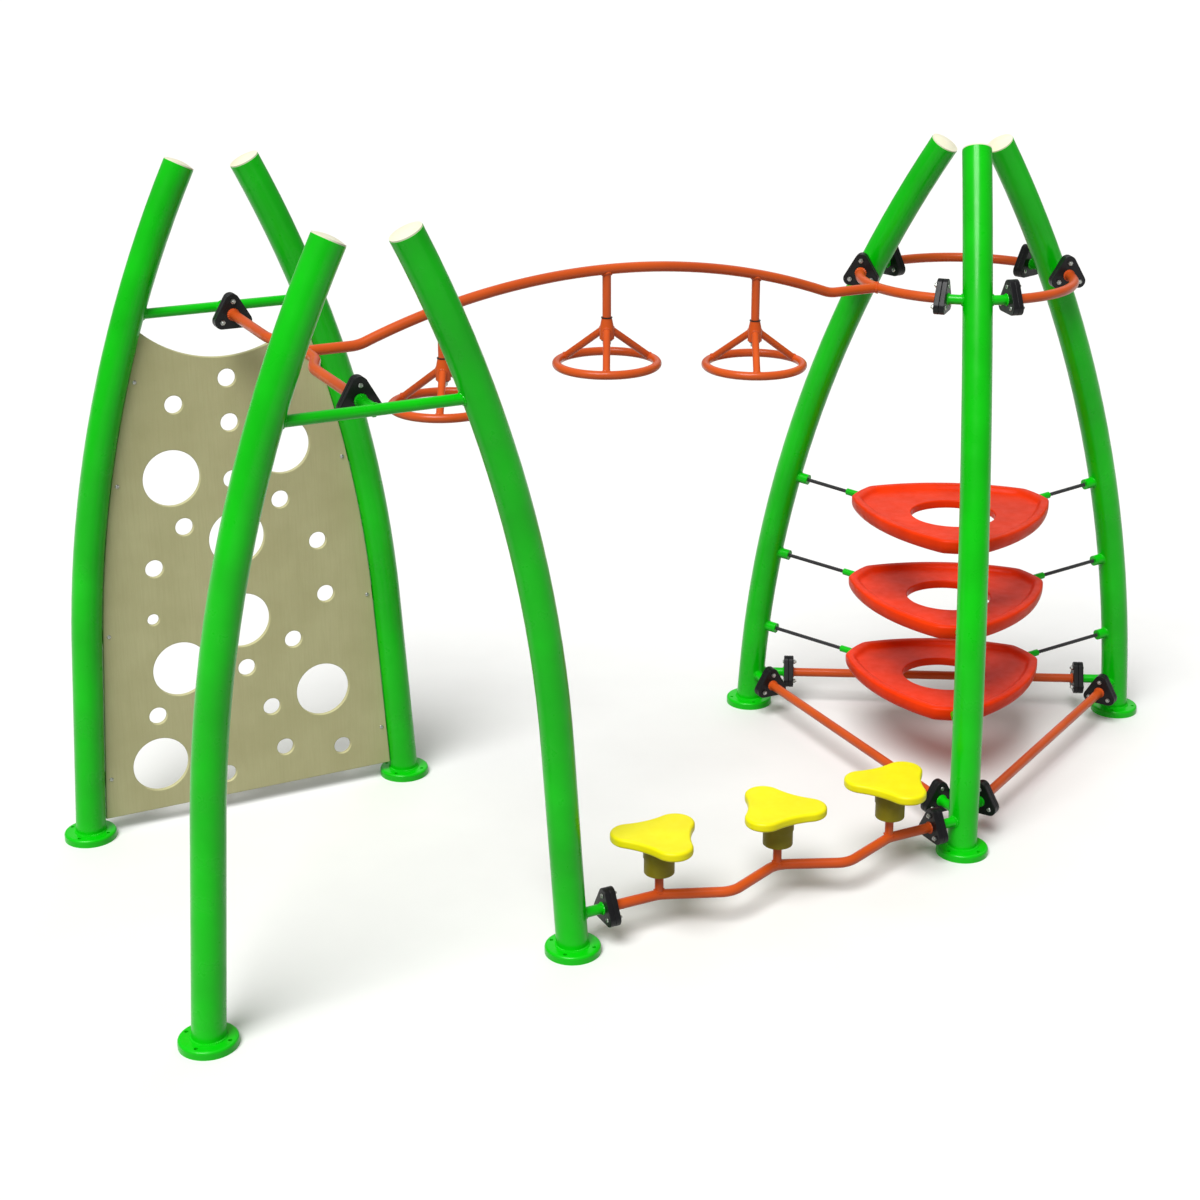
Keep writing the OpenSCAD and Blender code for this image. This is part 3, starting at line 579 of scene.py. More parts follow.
def rounded(
    corners: Sequence[tuple[float, float]], radius: float, steps: int = 4
) -> list[tuple[float, float]]:
    """Rounds the inner corners of an open profile.

    Args:
        corners: Radius and height of each corner.
        radius: Rounding of each corner but the first and the last.
        steps: Steps in each round.

    Returns:
        The rounded profile.
    """
    points = [Vector(c) for c in corners]
    out: list[tuple[float, float]] = [tuple(points[0])]
    for before, here, after in zip(points, points[1:], points[2:]):
        a, b = (before - here), (after - here)
        reach = min(radius, a.length * 0.45, b.length * 0.45)
        start, end = here + a.normalized() * reach, here + b.normalized() * reach
        for i in range(steps + 1):
            t = i / steps
            point = start * (1 - t) ** 2 + here * (2 * t * (1 - t)) + end * t**2
            out.append((point.x, point.y))
    out.append(tuple(points[-1]))
    return out


def moved_in(loop: Loop, distance: float) -> Loop:
    """Returns a closed flat loop moved to its left by a distance."""
    out: Loop = []
    for before, here, after in zip(loop[-1:] + loop[:-1], loop, loop[1:] + loop[:1]):
        a, b = (here - before).normalized(), (after - here).normalized()
        left_a, left_b = Vector((-a.y, a.x)), Vector((-b.y, b.x))
        mean = left_a + left_b
        out.append(here + mean * (distance / max(0.4, mean.dot(left_a))))
    return out


def round_loop(
    centre: tuple[float, float], radius: float, steps: int, clockwise: bool = True
) -> Loop:
    """Returns a circle as a flat loop; a hole's runs clockwise."""
    turn = -math.tau if clockwise else math.tau
    return [
        Vector(centre)
        + radius * Vector((math.cos(turn * i / steps), math.sin(turn * i / steps)))
        for i in range(steps)
    ]


def plate(
    outline: Loop,
    holes: Sequence[Loop],
    low: float,
    high: float,
    ease: float,
    steps: int = 3,
    crown: Callable[[Vector], float] | None = None,
) -> bmesh.types.BMesh:
    """Returns a flat plate with holes, whose edges are all rounded.

    Args:
        outline: The outer edge, anticlockwise.
        holes: Inner edges, clockwise.
        low: Height of the lower face.
        high: Height of the upper face.
        ease: Rounding of the edges.
        steps: Steps in each round.
        crown: Height added to the upper half at a point, if the face isn't flat.

    Returns:
        The worked mesh.
    """
    angles = [math.pi / 2 * i / steps for i in range(steps + 1)]
    rise = [(ease * (1 - math.sin(a)), low + ease * (1 - math.cos(a))) for a in angles]
    fall = [(inset, low + high - height) for inset, height in reversed(rise)]
    work = bmesh.new()
    ends: tuple[list, list] = ([], [])
    for loop in (outline, *holes):
        inset, height = rise[0]
        ring = [work.verts.new((p.x, p.y, height)) for p in moved_in(loop, inset)]
        edges = [work.edges.new(pair) for pair in zip(ring, ring[1:] + ring[:1])]
        ends[0].extend(edges)
        for inset, height in rise[1:] + fall:
            made = bmesh.ops.extrude_edge_only(work, edges=edges)["geom"]
            fresh = [item for item in made if isinstance(item, bmesh.types.BMVert)]
            for vert, point in zip(fresh, moved_in(loop, inset)):
                vert.co = (point.x, point.y, height)
            edges = [item for item in made if isinstance(item, bmesh.types.BMEdge)]
            edges = [e for e in edges if e.verts[0] in fresh and e.verts[1] in fresh]
        ends[1].extend(edges)
    for edges in ends:
        bmesh.ops.triangle_fill(work, use_beauty=True, use_dissolve=False, edges=edges)
    bmesh.ops.recalc_face_normals(work, faces=work.faces)
    if crown is not None:
        middle = (low + high) / 2
        for vert in work.verts:
            if vert.co.z > middle:
                vert.co.z += crown(vert.co)
    return work


class Bender:
    """A tube as a bending machine makes it: straights and bends, one after another."""

    def __init__(self, start: Vector, heading: Vector, radius: float, sides: int = 48) -> None:
        """Starts the tube with its first ring."""
        self.work = bmesh.new()
        self.tip = start.copy()
        self.heading = heading.normalized()
        made = bmesh.ops.create_circle(
            self.work,
            cap_ends=False,
            segments=sides,
            radius=radius,
            matrix=facing(start, heading),
        )
        ring = set(made["verts"])
        self.edges = [e for e in self.work.edges if set(e.verts) <= ring]

    def straight(self, length: float) -> None:
        """Pushes the tube straight on."""
        made = bmesh.ops.extrude_edge_only(self.work, edges=self.edges)["geom"]
        fresh = [item for item in made if isinstance(item, bmesh.types.BMVert)]
        bmesh.ops.translate(self.work, verts=fresh, vec=self.heading * length)
        kept = set(fresh)
        self.edges = [
            e for e in made if isinstance(e, bmesh.types.BMEdge) and set(e.verts) <= kept
        ]
        self.tip += self.heading * length

    def bend(self, radius: float, angle: float, upright: Vector, chord: float = 0.012) -> None:
        """Bends the tube to the left, as seen with upright towards the eye.

        Args:
            radius: Bend radius on the centreline.
            angle: Angle in radians, negative for a bend to the right.
            upright: Direction that the bend turns about.
            chord: Longest step along the bend.
        """
        side = upright.cross(self.heading).normalized() * (1.0 if angle > 0 else -1.0)
        steps = max(6, math.ceil(abs(angle) * radius / chord))
        middle = self.tip + side * radius
        last = bmesh.ops.spin(
            self.work,
            geom=self.edges,
            cent=middle,
            axis=upright,
            angle=angle,
            steps=steps,
        )["geom_last"]
        self.edges = [item for item in last if isinstance(item, bmesh.types.BMEdge)]
        turn = Matrix.Rotation(angle, 3, upright)
        self.tip = middle + turn @ (self.tip - middle)
        self.heading = turn @ self.heading

    def follow(self, corners: Sequence[Vector], radii: Sequence[float], upright: Vector) -> None:
        """Runs from the tip through corners, each rounded by its radius, to the last one."""
        for i, corner in enumerate(corners[:-1]):
            a = (corner - self.tip).normalized()
            b = (corners[i + 1] - corner).normalized()
            angle = math.atan2(upright.dot(a.cross(b)), a.dot(b))
            reach = radii[i] * math.tan(abs(angle) / 2)
            length = (corner - self.tip).length - reach
            if length > 0.01 * MM:
                self.straight(length)
            self.bend(radii[i], angle, upright)
        self.straight((corners[-1] - self.tip).length)

    def done(self) -> bmesh.types.BMesh:
        """Closes the ends and returns the worked mesh."""
        bmesh.ops.remove_doubles(self.work, verts=self.work.verts, dist=0.01 * MM)
        open_edges = [e for e in self.work.edges if e.is_boundary]
        bmesh.ops.holes_fill(self.work, edges=open_edges, sides=0)
        bmesh.ops.recalc_face_normals(self.work, faces=self.work.faces)
        return self.work


@dataclass(frozen=True)
class Seat:
    """What a tube is welded to: a flat face, or a round bar where radius isn't 0."""

    point: Vector
    axis: Vector
    radius: float = 0.0

    def reach(self, start: Vector, heading: Vector) -> float:
        """Returns how far a line from start runs along heading to this surface."""
        if self.radius == 0.0:
            return (self.point - start).dot(self.axis) / heading.dot(self.axis)
        axis = self.axis.normalized()
        across = start - self.point
        across -= axis * across.dot(axis)
        pace = heading - axis * heading.dot(axis)
        a, b, c = pace.length_squared, across.dot(pace), across.length_squared - self.radius**2
        return (-b + math.sqrt(max(0.0, b * b - a * c))) / a


def weld(
    target: bmesh.types.BMesh,
    start: Vector,
    heading: Vector,
    radius: float,
    seat: Seat,
    size: float = 4.5 * MM,
    pitch: float = 7.0 * MM,
) -> None:
    """Adds a rippled weld bead where a round tube meets its seat.

    Args:
        target: The mesh that gets the bead.
        start: A point on the tube's axis, inside the seat.
        heading: Direction of the tube, away from the seat.
        radius: The tube's outside radius.
        seat: What it is welded to.
        size: Radius of the bead.
        pitch: Length of one ripple.
    """
    bead = bmesh.new()
    made = bmesh.ops.create_circle(
        bead,
        cap_ends=False,
        segments=8,
        radius=size,
        matrix=Matrix.Translation((radius, 0.0, 0.0)) @ Matrix.Rotation(math.pi / 2, 4, "X"),
    )
    ripples = max(8, round(math.tau * radius / pitch))
    bmesh.ops.spin(
        bead,
        geom=made["verts"] + list(bead.edges),
        cent=(0.0, 0.0, 0.0),
        axis=Z_AXIS,
        angle=math.tau,
        steps=ripples * 4,
        use_merge=True,
    )
    place = facing(start, heading).to_3x3()
    along = heading.normalized()
    for vert in bead.verts:
        turn = math.atan2(vert.co.y, vert.co.x)
        outward = place @ Vector((math.cos(turn), math.sin(turn), 0.0))
        swell = 1.0 + 0.16 * math.sin(ripples * turn)
        off = (math.hypot(vert.co.x, vert.co.y) - radius) * swell
        lift = vert.co.z * swell
        root = start + outward * radius
        vert.co = root + along * (seat.reach(root, along) + lift) + outward * off
    bmesh.ops.recalc_face_normals(bead, faces=bead.faces)
    add_copy(target, bead, Matrix.Identity(4))
    bead.free()


def button_screw(head_r: float, head_h: float, shank_r: float, length: float) -> bmesh.types.BMesh:
    """Returns a button-head screw: head below z 0, six-sided socket, shank along +Z.

    Args:
        head_r: Radius of the head.
        head_h: Height of the head.
        shank_r: Radius of the shank.
        length: Length of the shank.

    Returns:
        The worked mesh.
    """
    dome = [
        (head_r * math.cos(a), -head_h * (0.25 + 0.75 * math.sin(a)))
        for a in (math.radians(d) for d in (0, 20, 40, 55, 66))
    ]
    profile = [(shank_r, length - 0.8 * MM), (shank_r, 0.0), (head_r * 0.97, 0.0), *dome]
    work = spun([(shank_r - 0.8 * MM, length), *profile], 24)
    top = min(v.co.z for v in work.verts)
    rim = [e for e in work.edges if e.is_boundary and abs(e.verts[0].co.z - top) < 1e-6]
    made = bmesh.ops.create_circle(
        work,
        cap_ends=False,
        segments=6,
        radius=head_r * 0.36,
        matrix=Matrix.Translation((0.0, 0.0, top)),
    )
    ring = set(made["verts"])
    socket = [e for e in work.edges if set(e.verts) <= ring]
    bmesh.ops.bridge_loops(work, edges=rim + socket)
    pushed = bmesh.ops.extrude_edge_only(work, edges=socket)["geom"]
    floor = [item for item in pushed if isinstance(item, bmesh.types.BMVert)]
    bmesh.ops.translate(work, verts=floor, vec=(0.0, 0.0, head_h * 0.6))
    bmesh.ops.holes_fill(work, edges=[e for e in work.edges if e.is_boundary], sides=0)
    bmesh.ops.recalc_face_normals(work, faces=work.faces)
    return work


def hex_nut(across: float, height: float, bore_r: float) -> bmesh.types.BMesh:
    """Returns a hexagon nut that stands on z 0."""
    outline = round_loop((0.0, 0.0), across / math.sqrt(3.0), 6, clockwise=False)
    return plate(outline, [round_loop((0.0, 0.0), bore_r, 20)], 0.0, height, 0.9 * MM, 2)


# ---------------------------------------------------------------- layout


@dataclass(frozen=True)
class Leaning:
    """A post's centreline: a straight foot, then one bend.

    Attributes:
        tilt: Lean at the ground, in radians.
        straight: Length of the straight foot.
        radius: Bend radius.
    """

    tilt: float
    straight: float
    radius: float

    def lean(self, height: float) -> float:
        """Returns how far the centreline has moved inwards at a height."""
        foot = self.straight * math.cos(self.tilt)
        if height < foot:
            return height * math.tan(self.tilt)
        slope = math.asin(math.sin(self.tilt) + (height - foot) / self.radius)
        return self.straight * math.sin(self.tilt) + self.radius * (
            math.cos(self.tilt) - math.cos(slope)
        )

    def slope(self, height: float) -> float:
        """Returns the centreline's angle from upright at a height, in radians."""
        foot = self.straight * math.cos(self.tilt)
        if height < foot:
            return self.tilt
        return math.asin(math.sin(self.tilt) + (height - foot) / self.radius)


@dataclass(frozen=True)
class Layout:
    """Plan of the whole climber: X from the left feet, Y from the middle plane."""

    shift_x: float = -2.196
    shift_y: float = 0.038
    bay_w: float = 1.311
    bay_d: float = 1.639
    tripod_x: float = 3.448
    tripod_r: float = 0.944
    post_r: float = 0.057
    post_wall: float = 0.004
    bar_r: float = 0.019
    foot_t: float = 0.030
    high_z: float = 2.050
    low_z: float = 0.150
    step_z: float = 0.140
    flange_t: float = 0.021
    low_stub: float = 0.165
    step_stub: float = 0.145
    cross_stub: float = 0.140
    ring_turn: float = math.radians(18.0)
    bay: Leaning = Leaning(math.radians(3.67), 0.799, 4.672)
    tripod: Leaning = Leaning(math.radians(4.3), 0.181, 5.075)
    tripod_turns: tuple[float, ...] = (120.0, -120.0, 0.0)

    def at(self, x: float, y: float, z: float) -> Vector:
        """Returns a plan point in the model's frame."""
        return Vector((x + self.shift_x, y + self.shift_y, z))

    def axis(self, z: float) -> Vector:
        """Returns the point of the tripod's axis at a height."""
        return self.at(self.tripod_x, 0.0, z)

    def outward(self, degrees: float) -> Vector:
        """Returns the level direction from the tripod's axis at an angle."""
        return Vector((math.cos(math.radians(degrees)), math.sin(math.radians(degrees)), 0.0))

    def tripod_at(self, degrees: float, z: float) -> Vector:
        """Returns the centre of a tripod post at a height."""
        return self.axis(z) + self.outward(degrees) * (self.tripod_r - self.tripod.lean(z))

    def tripod_seat(self, degrees: float, z: float) -> Seat:
        """Returns a tripod post's surface near a height."""
        slope = self.tripod.slope(z)
        axis = Z_AXIS * math.cos(slope) - self.outward(degrees) * math.sin(slope)
        return Seat(self.tripod_at(degrees, z), axis, self.post_r)

    def bay_posts(self) -> list[tuple[float, float, float]]:
        """Returns X and Y of each bay foot, and the sign of its lean along X."""
        half = self.bay_d / 2
        return [(x, y, s) for y in (half, -half) for x, s in ((0.0, 1.0), (self.bay_w, -1.0))]

    def bay_at(self, post: tuple[float, float, float], z: float) -> Vector:
        """Returns the centre of a bay post at a height."""
        return self.at(post[0] + post[2] * self.bay.lean(z), post[1], z)

    def bay_seat(self, post: tuple[float, float, float], z: float) -> Seat:
        """Returns a bay post's surface near a height."""
        slope = self.bay.slope(z)
        axis = Z_AXIS * math.cos(slope) + X_AXIS * (post[2] * math.sin(slope))
        return Seat(self.bay_at(post, z), axis, self.post_r)

    @property
    def ring_r(self) -> float:
        """Returns the radius of the upper ring's centreline."""
        return self.tripod_r - self.tripod.lean(self.high_z)

    @property
    def cross_x(self) -> float:
        """Returns X of the crossbar's ends."""
        return self.bay_w / 2

    def low_pairs(self) -> list[tuple[float, float]]:
        """Returns the pairs of tripod angles that the low bars join, both ways."""
        turns = self.tripod_turns
        return [(a, b) for a in turns for b in turns if a != b]

    def low_start(self, a: float, b: float) -> tuple[Vector, Vector]:
        """Returns the post's centre and the direction of the low bar from post a to post b."""
        start, end = self.tripod_at(a, self.low_z), self.tripod_at(b, self.low_z)
        return start, (end - start).normalized()

    def step_ends(self) -> tuple[Vector, Vector]:
        """Returns the post centres that the step rail joins."""
        left = self.at(self.bay_w - self.bay.lean(self.step_z), -self.bay_d / 2, self.step_z)
        right = self.tripod_at(-120.0, self.step_z)
        right.y = left.y
        return left, right

    def ring_point(self, degrees: float, side: float, extra: float = 0.0) -> tuple[Vector, Vector]:
        """Returns a ring joint's centre and its direction away from its post.

        Args:
            degrees: The post's angle.
            side: 1 or -1, which side of the post.
            extra: Distance along the ring past the joint.

        Returns:
            The point and the direction.
        """
        turn = math.radians(degrees) + side * (self.ring_turn + extra / self.ring_r)
        point = self.axis(self.high_z) + self.ring_r * Vector((math.cos(turn), math.sin(turn), 0.0))
        return point, side * Vector((-math.sin(turn), math.cos(turn), 0.0))

    def joints(self) -> dict[str, list[tuple[Vector, Vector]]]:
        """Returns each flanged joint's centre and level direction, by the flanges' node."""
        left, right = self.step_ends()
        reach = self.bay_d / 2 - self.cross_stub
        high = [
            (self.at(self.cross_x, s * reach, self.high_z), -s * Y_AXIS) for s in (-1.0, 1.0)
        ]
        ring = [self.ring_point(a, s) for a in self.tripod_turns for s in (-1.0, 1.0)]
        low = []
        for a, b in self.low_pairs():
            start, away = self.low_start(a, b)
            low.append((start + self.low_stub * away, away))
        low.append((left + self.step_stub * X_AXIS, X_AXIS.copy()))
        low.append((right - self.step_stub * X_AXIS, -X_AXIS))
        return {"high_flanges": high, "ring_flanges": ring, "low_flanges": low}


PLAN = Layout()


# ---------------------------------------------------------------- sub-assemblies


@dataclass
class PostSet:
    """The seven green posts, their caps and every green bar, with the welds on them."""

    plan: Layout = PLAN
    weld_size: float = 5.0 * MM

    def build(self) -> None:
        """Builds the posts, the caps, the tie rods and the green welds."""
        for node in (
            "post_back_left",
            "post_back_right",
            "post_front_left",
            "post_front_right",
            "tripod_post_back",
            "tripod_post_front",
            "tripod_post_right",
            "tie_rod_back",
            "tie_rod_front",
        ):
            finish_piece(solid_copy(node), f"coated_{node}", GREEN, [node])
        finish_piece(solid_copy("post_caps"), "moulded_post_caps", CREAM, ["post_caps"])
        self.ring_stub()
        self.welds()

    def ring_stub(self) -> None:
        """Rolls the short tube between the front tripod post and the ring's right arc."""
        plan, work = self.plan, bmesh.new()
        post = math.radians(plan.tripod_turns[1])
        start = post + (plan.post_r - 2 * plan.post_wall) / plan.ring_r
        end = post + plan.ring_turn - plan.flange_t / plan.ring_r
        centre = plan.axis(plan.high_z)
        out = Vector((math.cos(start), math.sin(start), 0.0))
        tangent = Vector((-math.sin(start), math.cos(start), 0.0))
        bmesh.ops.create_circle(
            work,
            cap_ends=False,
            segments=40,
            radius=plan.bar_r,
            matrix=facing(centre + plan.ring_r * out, tangent),
        )
        bmesh.ops.spin(
            work,
            geom=list(work.edges),
            cent=centre,
            axis=Z_AXIS,
            angle=end - start,
            steps=12,
        )
        bmesh.ops.holes_fill(work, edges=[e for e in work.edges if e.is_boundary])
        bmesh.ops.recalc_face_normals(work, faces=work.faces)
        finish_piece(work, "coated_ring_stub", GREEN)

    def welds(self) -> None:
        """Builds the beads at the feet and at every stub and tie rod."""
        plan, work = self.plan, bmesh.new()
        top = Seat(Vector((0.0, 0.0, plan.foot_t)), Z_AXIS)
        for post in plan.bay_posts():
            axis = plan.bay_seat(post, 0.0).axis
            weld(work, plan.bay_at(post, 0.0), axis, plan.post_r, top, self.weld_size)
            rod = X_AXIS * post[2]
            seat = plan.bay_seat(post, plan.high_z)
            weld(work, plan.bay_at(post, plan.high_z), rod, plan.bar_r, seat)
        for degrees in plan.tripod_turns:
            axis = plan.tripod_seat(degrees, 0.0).axis
            weld(work, plan.tripod_at(degrees, 0.0), axis, plan.post_r, top, self.weld_size)
            seat = plan.tripod_seat(degrees, plan.high_z)
            for side in (-1.0, 1.0):
                turn = math.radians(degrees) + side * plan.post_r / plan.ring_r
                leaf = Vector((-math.sin(turn), math.cos(turn), 0.0)) * side
                reach = plan.axis(plan.high_z) + plan.ring_r * Vector(
                    (math.cos(turn), math.sin(turn), 0.0)
                )
                weld(work, reach - leaf * plan.post_r, leaf, plan.bar_r, seat)
        for a, b in plan.low_pairs():
            start, away = plan.low_start(a, b)
            weld(work, start, away, plan.bar_r, plan.tripod_seat(a, plan.low_z))
        left, right = plan.step_ends()
        front_right = plan.bay_posts()[3]
        weld(work, left, X_AXIS, plan.bar_r, plan.bay_seat(front_right, plan.step_z))
        weld(work, right, -X_AXIS, plan.bar_r, plan.tripod_seat(-120.0, plan.step_z))
        for side in (-1.0, 1.0):
            start = plan.at(plan.cross_x, side * plan.bay_d / 2, plan.high_z)
            weld(work, start, -side * Y_AXIS, plan.bar_r, Seat(start, X_AXIS, plan.bar_r))
        for joints in plan.joints().values():
            for point, away in joints:
                face = point - away * plan.flange_t
                weld(work, face, -away, plan.bar_r, Seat(face, away))
        finish_piece(work, "welds_on_the_posts", GREEN)


@dataclass
class PipeJoints:
    """The flanged joints: two rounded triangular plates, three bolts and three nuts each."""

    plan: Layout = PLAN
    bolt_r: float = 50.0 * MM
    corner_r: float = 27.0 * MM
    hole_r: float = 5.25 * MM
    bolt_shank_r: float = 5.0 * MM
    head_r: float = 8.5 * MM
    head_h: float = 6.0 * MM
    nut_across: float = 17.0 * MM
    nut_h: float = 9.0 * MM
    tail: float = 5.0 * MM

    def outline(self) -> Loop:
        """Returns the rounded triangle, one corner along +Y, anticlockwise."""
        points: Loop = []
        for k in range(3):
            middle = math.radians(90.0 + 120.0 * k)
            corner = self.bolt_r * Vector((math.cos(middle), math.sin(middle)))
            for step in range(-6, 7):
                turn = middle + math.radians(10.0 * step)
                points.append(corner + self.corner_r * Vector((math.cos(turn), math.sin(turn))))
        return points

    def bolt_places(self) -> list[Vector]:
        """Returns where the three bolts go in the plate's plane."""
        turns = [math.radians(90.0 + 120.0 * k) for k in range(3)]
        return [self.bolt_r * Vector((math.cos(t), math.sin(t), 0.0)) for t in turns]

    def build(self) -> None:
        """Builds the plates of each group, then all bolts and all nuts."""
        plan = self.plan
        holes = [round_loop((p.x, p.y), self.hole_r, 20) for p in self.bolt_places()]
        blank = plate(self.outline(), holes, -plan.flange_t, 0.0, 2.5 * MM)
        screw = button_screw(
            self.head_r,
            self.head_h,
            self.bolt_shank_r,
            2 * plan.flange_t + self.nut_h + self.tail,
        )
        nut = hex_nut(self.nut_across, self.nut_h, self.bolt_shank_r)
        screws, nuts = bmesh.new(), bmesh.new()
        for node, joints in plan.joints().items():
            plates = bmesh.new()
            for point, away in joints:
                place = facing(point, away)
                add_copy(plates, blank, place)
                add_copy(plates, blank, place @ Matrix.Scale(-1.0, 4, Z_AXIS))
                for spot in self.bolt_places():
                    under = Matrix.Translation(spot - Z_AXIS * plan.flange_t)
                    over = Matrix.Translation(spot + Z_AXIS * plan.flange_t)
                    add_copy(screws, screw, place @ under)
                    add_copy(nuts, nut, place @ over)
            finish_piece(plates, f"coated_{node}", BLACK, [node], even=True)
        finish_piece(screws, "button_head_flange_bolts", ZINC, ["flange_bolts"])
        finish_piece(nuts, "hexagon_flange_nuts", ZINC, ["flange_nuts"])
        for part in (blank, screw, nut):
            part.free()


@dataclass
class RailRun:
    """The crossbar, the arched overhead rail, the ring and the low triangle."""

    plan: Layout = PLAN
    bump: float = 0.050
    bump_l: float = 0.480
    bump_radius: float = 0.200
    rise: float = 0.178
    arch_l: float = 1.910
    middle: float = 1.855
    cut: float = math.radians(0.6)

    @property
    def slope(self) -> float:
        """Returns the rail's steepest slope, in radians."""
        return 2.0 * math.atan(2.0 * self.rise / self.arch_l) - self.cut

    @property
    def radius(self) -> float:
        """Returns the arch's bend radius."""
        half = self.arch_l / 2
        return (half * math.tan(self.slope) - self.rise) / (1.0 / math.cos(self.slope) - 1.0)

    def height(self, x: float) -> float:
        """Returns the height of the arch's centreline at a plan X."""
        lift = math.sqrt(self.radius**2 - (x - self.middle) ** 2)
        return self.plan.high_z + self.rise - self.radius + lift

    def rail_slope(self, x: float) -> float:
        """Returns the arch's slope at a plan X, in radians."""
        return -math.asin((x - self.middle) / self.radius)

    def build(self) -> None:
        """Builds the crossbar, the rail, the ring arcs and the low bars, with their welds."""
        self.crossbar()
        self.overhead_rail()
        for node in (
            "ring_arc_left",
            "ring_arc_back",
            "ring_arc_front",
            "low_bar_left",
            "low_bar_back",
            "low_bar_front",
        ):
            finish_piece(solid_copy(node), f"coated_{node}", ORANGE, [node])
        self.welds()

    def crossbar(self) -> None:
        """Bends the crossbar, with its shallow bump under the overhead rail."""
        plan = self.plan
        x, end = plan.cross_x, plan.bay_d / 2 - plan.cross_stub - plan.flange_t
        corners = [
            (x, self.bump_l / 2),
            (x + self.bump, self.bump_l / 4),
            (x + self.bump, -self.bump_l / 4),
            (x, -self.bump_l / 2),
            (x, -end),
        ]
        run = Bender(plan.at(x, end, plan.high_z), -Y_AXIS, plan.bar_r)
        points = [plan.at(px, py, plan.high_z) for px, py in corners]
        run.follow(points, [self.bump_radius] * 4, Z_AXIS)
        finish_piece(run.done(), "bent_crossbar", ORANGE, ["crossbar"])

    def overhead_rail(self) -> None:
        """Bends the overhead rail, whose ends are coped into the crossbar and the ring."""
        plan = self.plan
        half, high = self.arch_l / 2, plan.high_z
        start = plan.cross_x + self.bump + plan.bar_r * 0.4
        end = plan.tripod_x - plan.ring_r - plan.bar_r * 0.4
        leg = half / math.cos(self.slope)
        end_radius = (
            0.95 * (leg - self.radius * math.tan(self.slope)) / math.tan(self.slope / 2)
        )
        corners = [
            (self.middle - half, high),
            (self.middle, high + half * math.tan(self.slope)),
            (self.middle + half, high),
            (end, high),
        ]
        run = Bender(plan.at(start, 0.0, high), X_AXIS, plan.bar_r)
        points = [plan.at(x, 0.0, z) for x, z in corners]
        run.follow(points, [end_radius, self.radius, end_radius], -Y_AXIS)
        finish_piece(run.done(), "arched_overhead_rail", ORANGE, ["overhead_rail"])

    def welds(self) -> None:
        """Builds the beads at the rail's ends and at every orange bar's flange."""
        plan, work = self.plan, bmesh.new()
        start = plan.at(plan.cross_x + self.bump, 0.0, plan.high_z)
        weld(work, start, X_AXIS, plan.bar_r, Seat(start, Y_AXIS, plan.bar_r))
        end = plan.at(plan.tripod_x - plan.ring_r, 0.0, plan.high_z)
        weld(work, end, -X_AXIS, plan.bar_r, Seat(end, Y_AXIS, plan.bar_r))
        for joints in plan.joints().values():
            for point, away in joints:
                face = point + away * plan.flange_t
                weld(work, face, away, plan.bar_r, Seat(face, away))
        finish_piece(work, "welds_on_the_rails", ORANGE)


@dataclass
class HandWheel:
    """One turning hand wheel under the overhead rail: hub, three spokes and a rim."""

    name: str
    place: int
    rail: RailRun
    pitches: tuple[float, ...] = (0.645, 0.0, 0.626)
    outside: float = 0.402
    rim_d: float = 0.032
    drop: float = 0.347
    spoke_drop: float = 0.210
    hub_r: float = 0.026
    stem_r: float = 0.016
    spoke_r: float = 0.0135
    bead_r: float = 3.2 * MM
    bead_ripple: float = 5.0 * MM
    spoke_turns: tuple[float, ...] = (-117.0, 3.0, 123.0)

    @property
    def x(self) -> float:
        """Returns the wheel's plan X."""
        return self.rail.middle + self.place * self.pitches[self.place + 1]

    @property
    def top(self) -> Vector:
        """Returns the rail's centre above the wheel."""
        return self.rail.plan.at(self.x, 0.0, self.rail.height(self.x))

    def build(self) -> None:
        """Builds the stem, the wheel, its bushes and its nut."""
        body = f"wheel_{self.name}_turning"
        wheel, stem = f"wheel_{self.name}", f"stem_{self.name}"
        finish_piece(solid_copy(stem), f"coated_{stem}", ORANGE, [stem])
        finish_piece(solid_copy(wheel), f"coated_{wheel}", ORANGE, [wheel], body)
        bushes, nut = f"bushes_{self.name}", f"spindle_nut_{self.name}"
        finish_piece(solid_copy(bushes, Edge.FINE), f"turned_{bushes}", BUSH, [bushes], body)
        finish_piece(solid_copy(nut, Edge.FINE), f"plated_{nut}", ZINC, [nut])
        self.welds(body)

    def welds(self, body: str) -> None:
        """Builds the beads on the stem, and on the hub and rim of the turning wheel."""
        top, slope = self.top, self.rail.rail_slope(self.x)
        along = Vector((math.cos(slope), 0.0, math.sin(slope)))
        still = bmesh.new()
        weld(still, top, -Z_AXIS, self.stem_r, Seat(top, along, self.rail.plan.bar_r))
        finish_piece(still, f"weld_on_stem_{self.name}", ORANGE)
        turning = bmesh.new()
        ring_r = (self.outside - self.rim_d) / 2
        root = top - Z_AXIS * self.spoke_drop
        for degrees in self.spoke_turns:
            out = Vector((math.cos(math.radians(degrees)), math.sin(math.radians(degrees)), 0.0))
            tip = top - Z_AXIS * self.drop + out * ring_r
            away = (tip - root).normalized()
            tangent = Z_AXIS.cross(out)
            hub = Seat(root, Z_AXIS, self.hub_r)
            weld(turning, root, away, self.spoke_r, hub, self.bead_r, self.bead_ripple)
            rim = Seat(tip, tangent, self.rim_d / 2)
            weld(turning, tip, -away, self.spoke_r, rim, self.bead_r, self.bead_ripple)
        finish_piece(turning, f"welds_on_wheel_{self.name}", ORANGE, body=body)


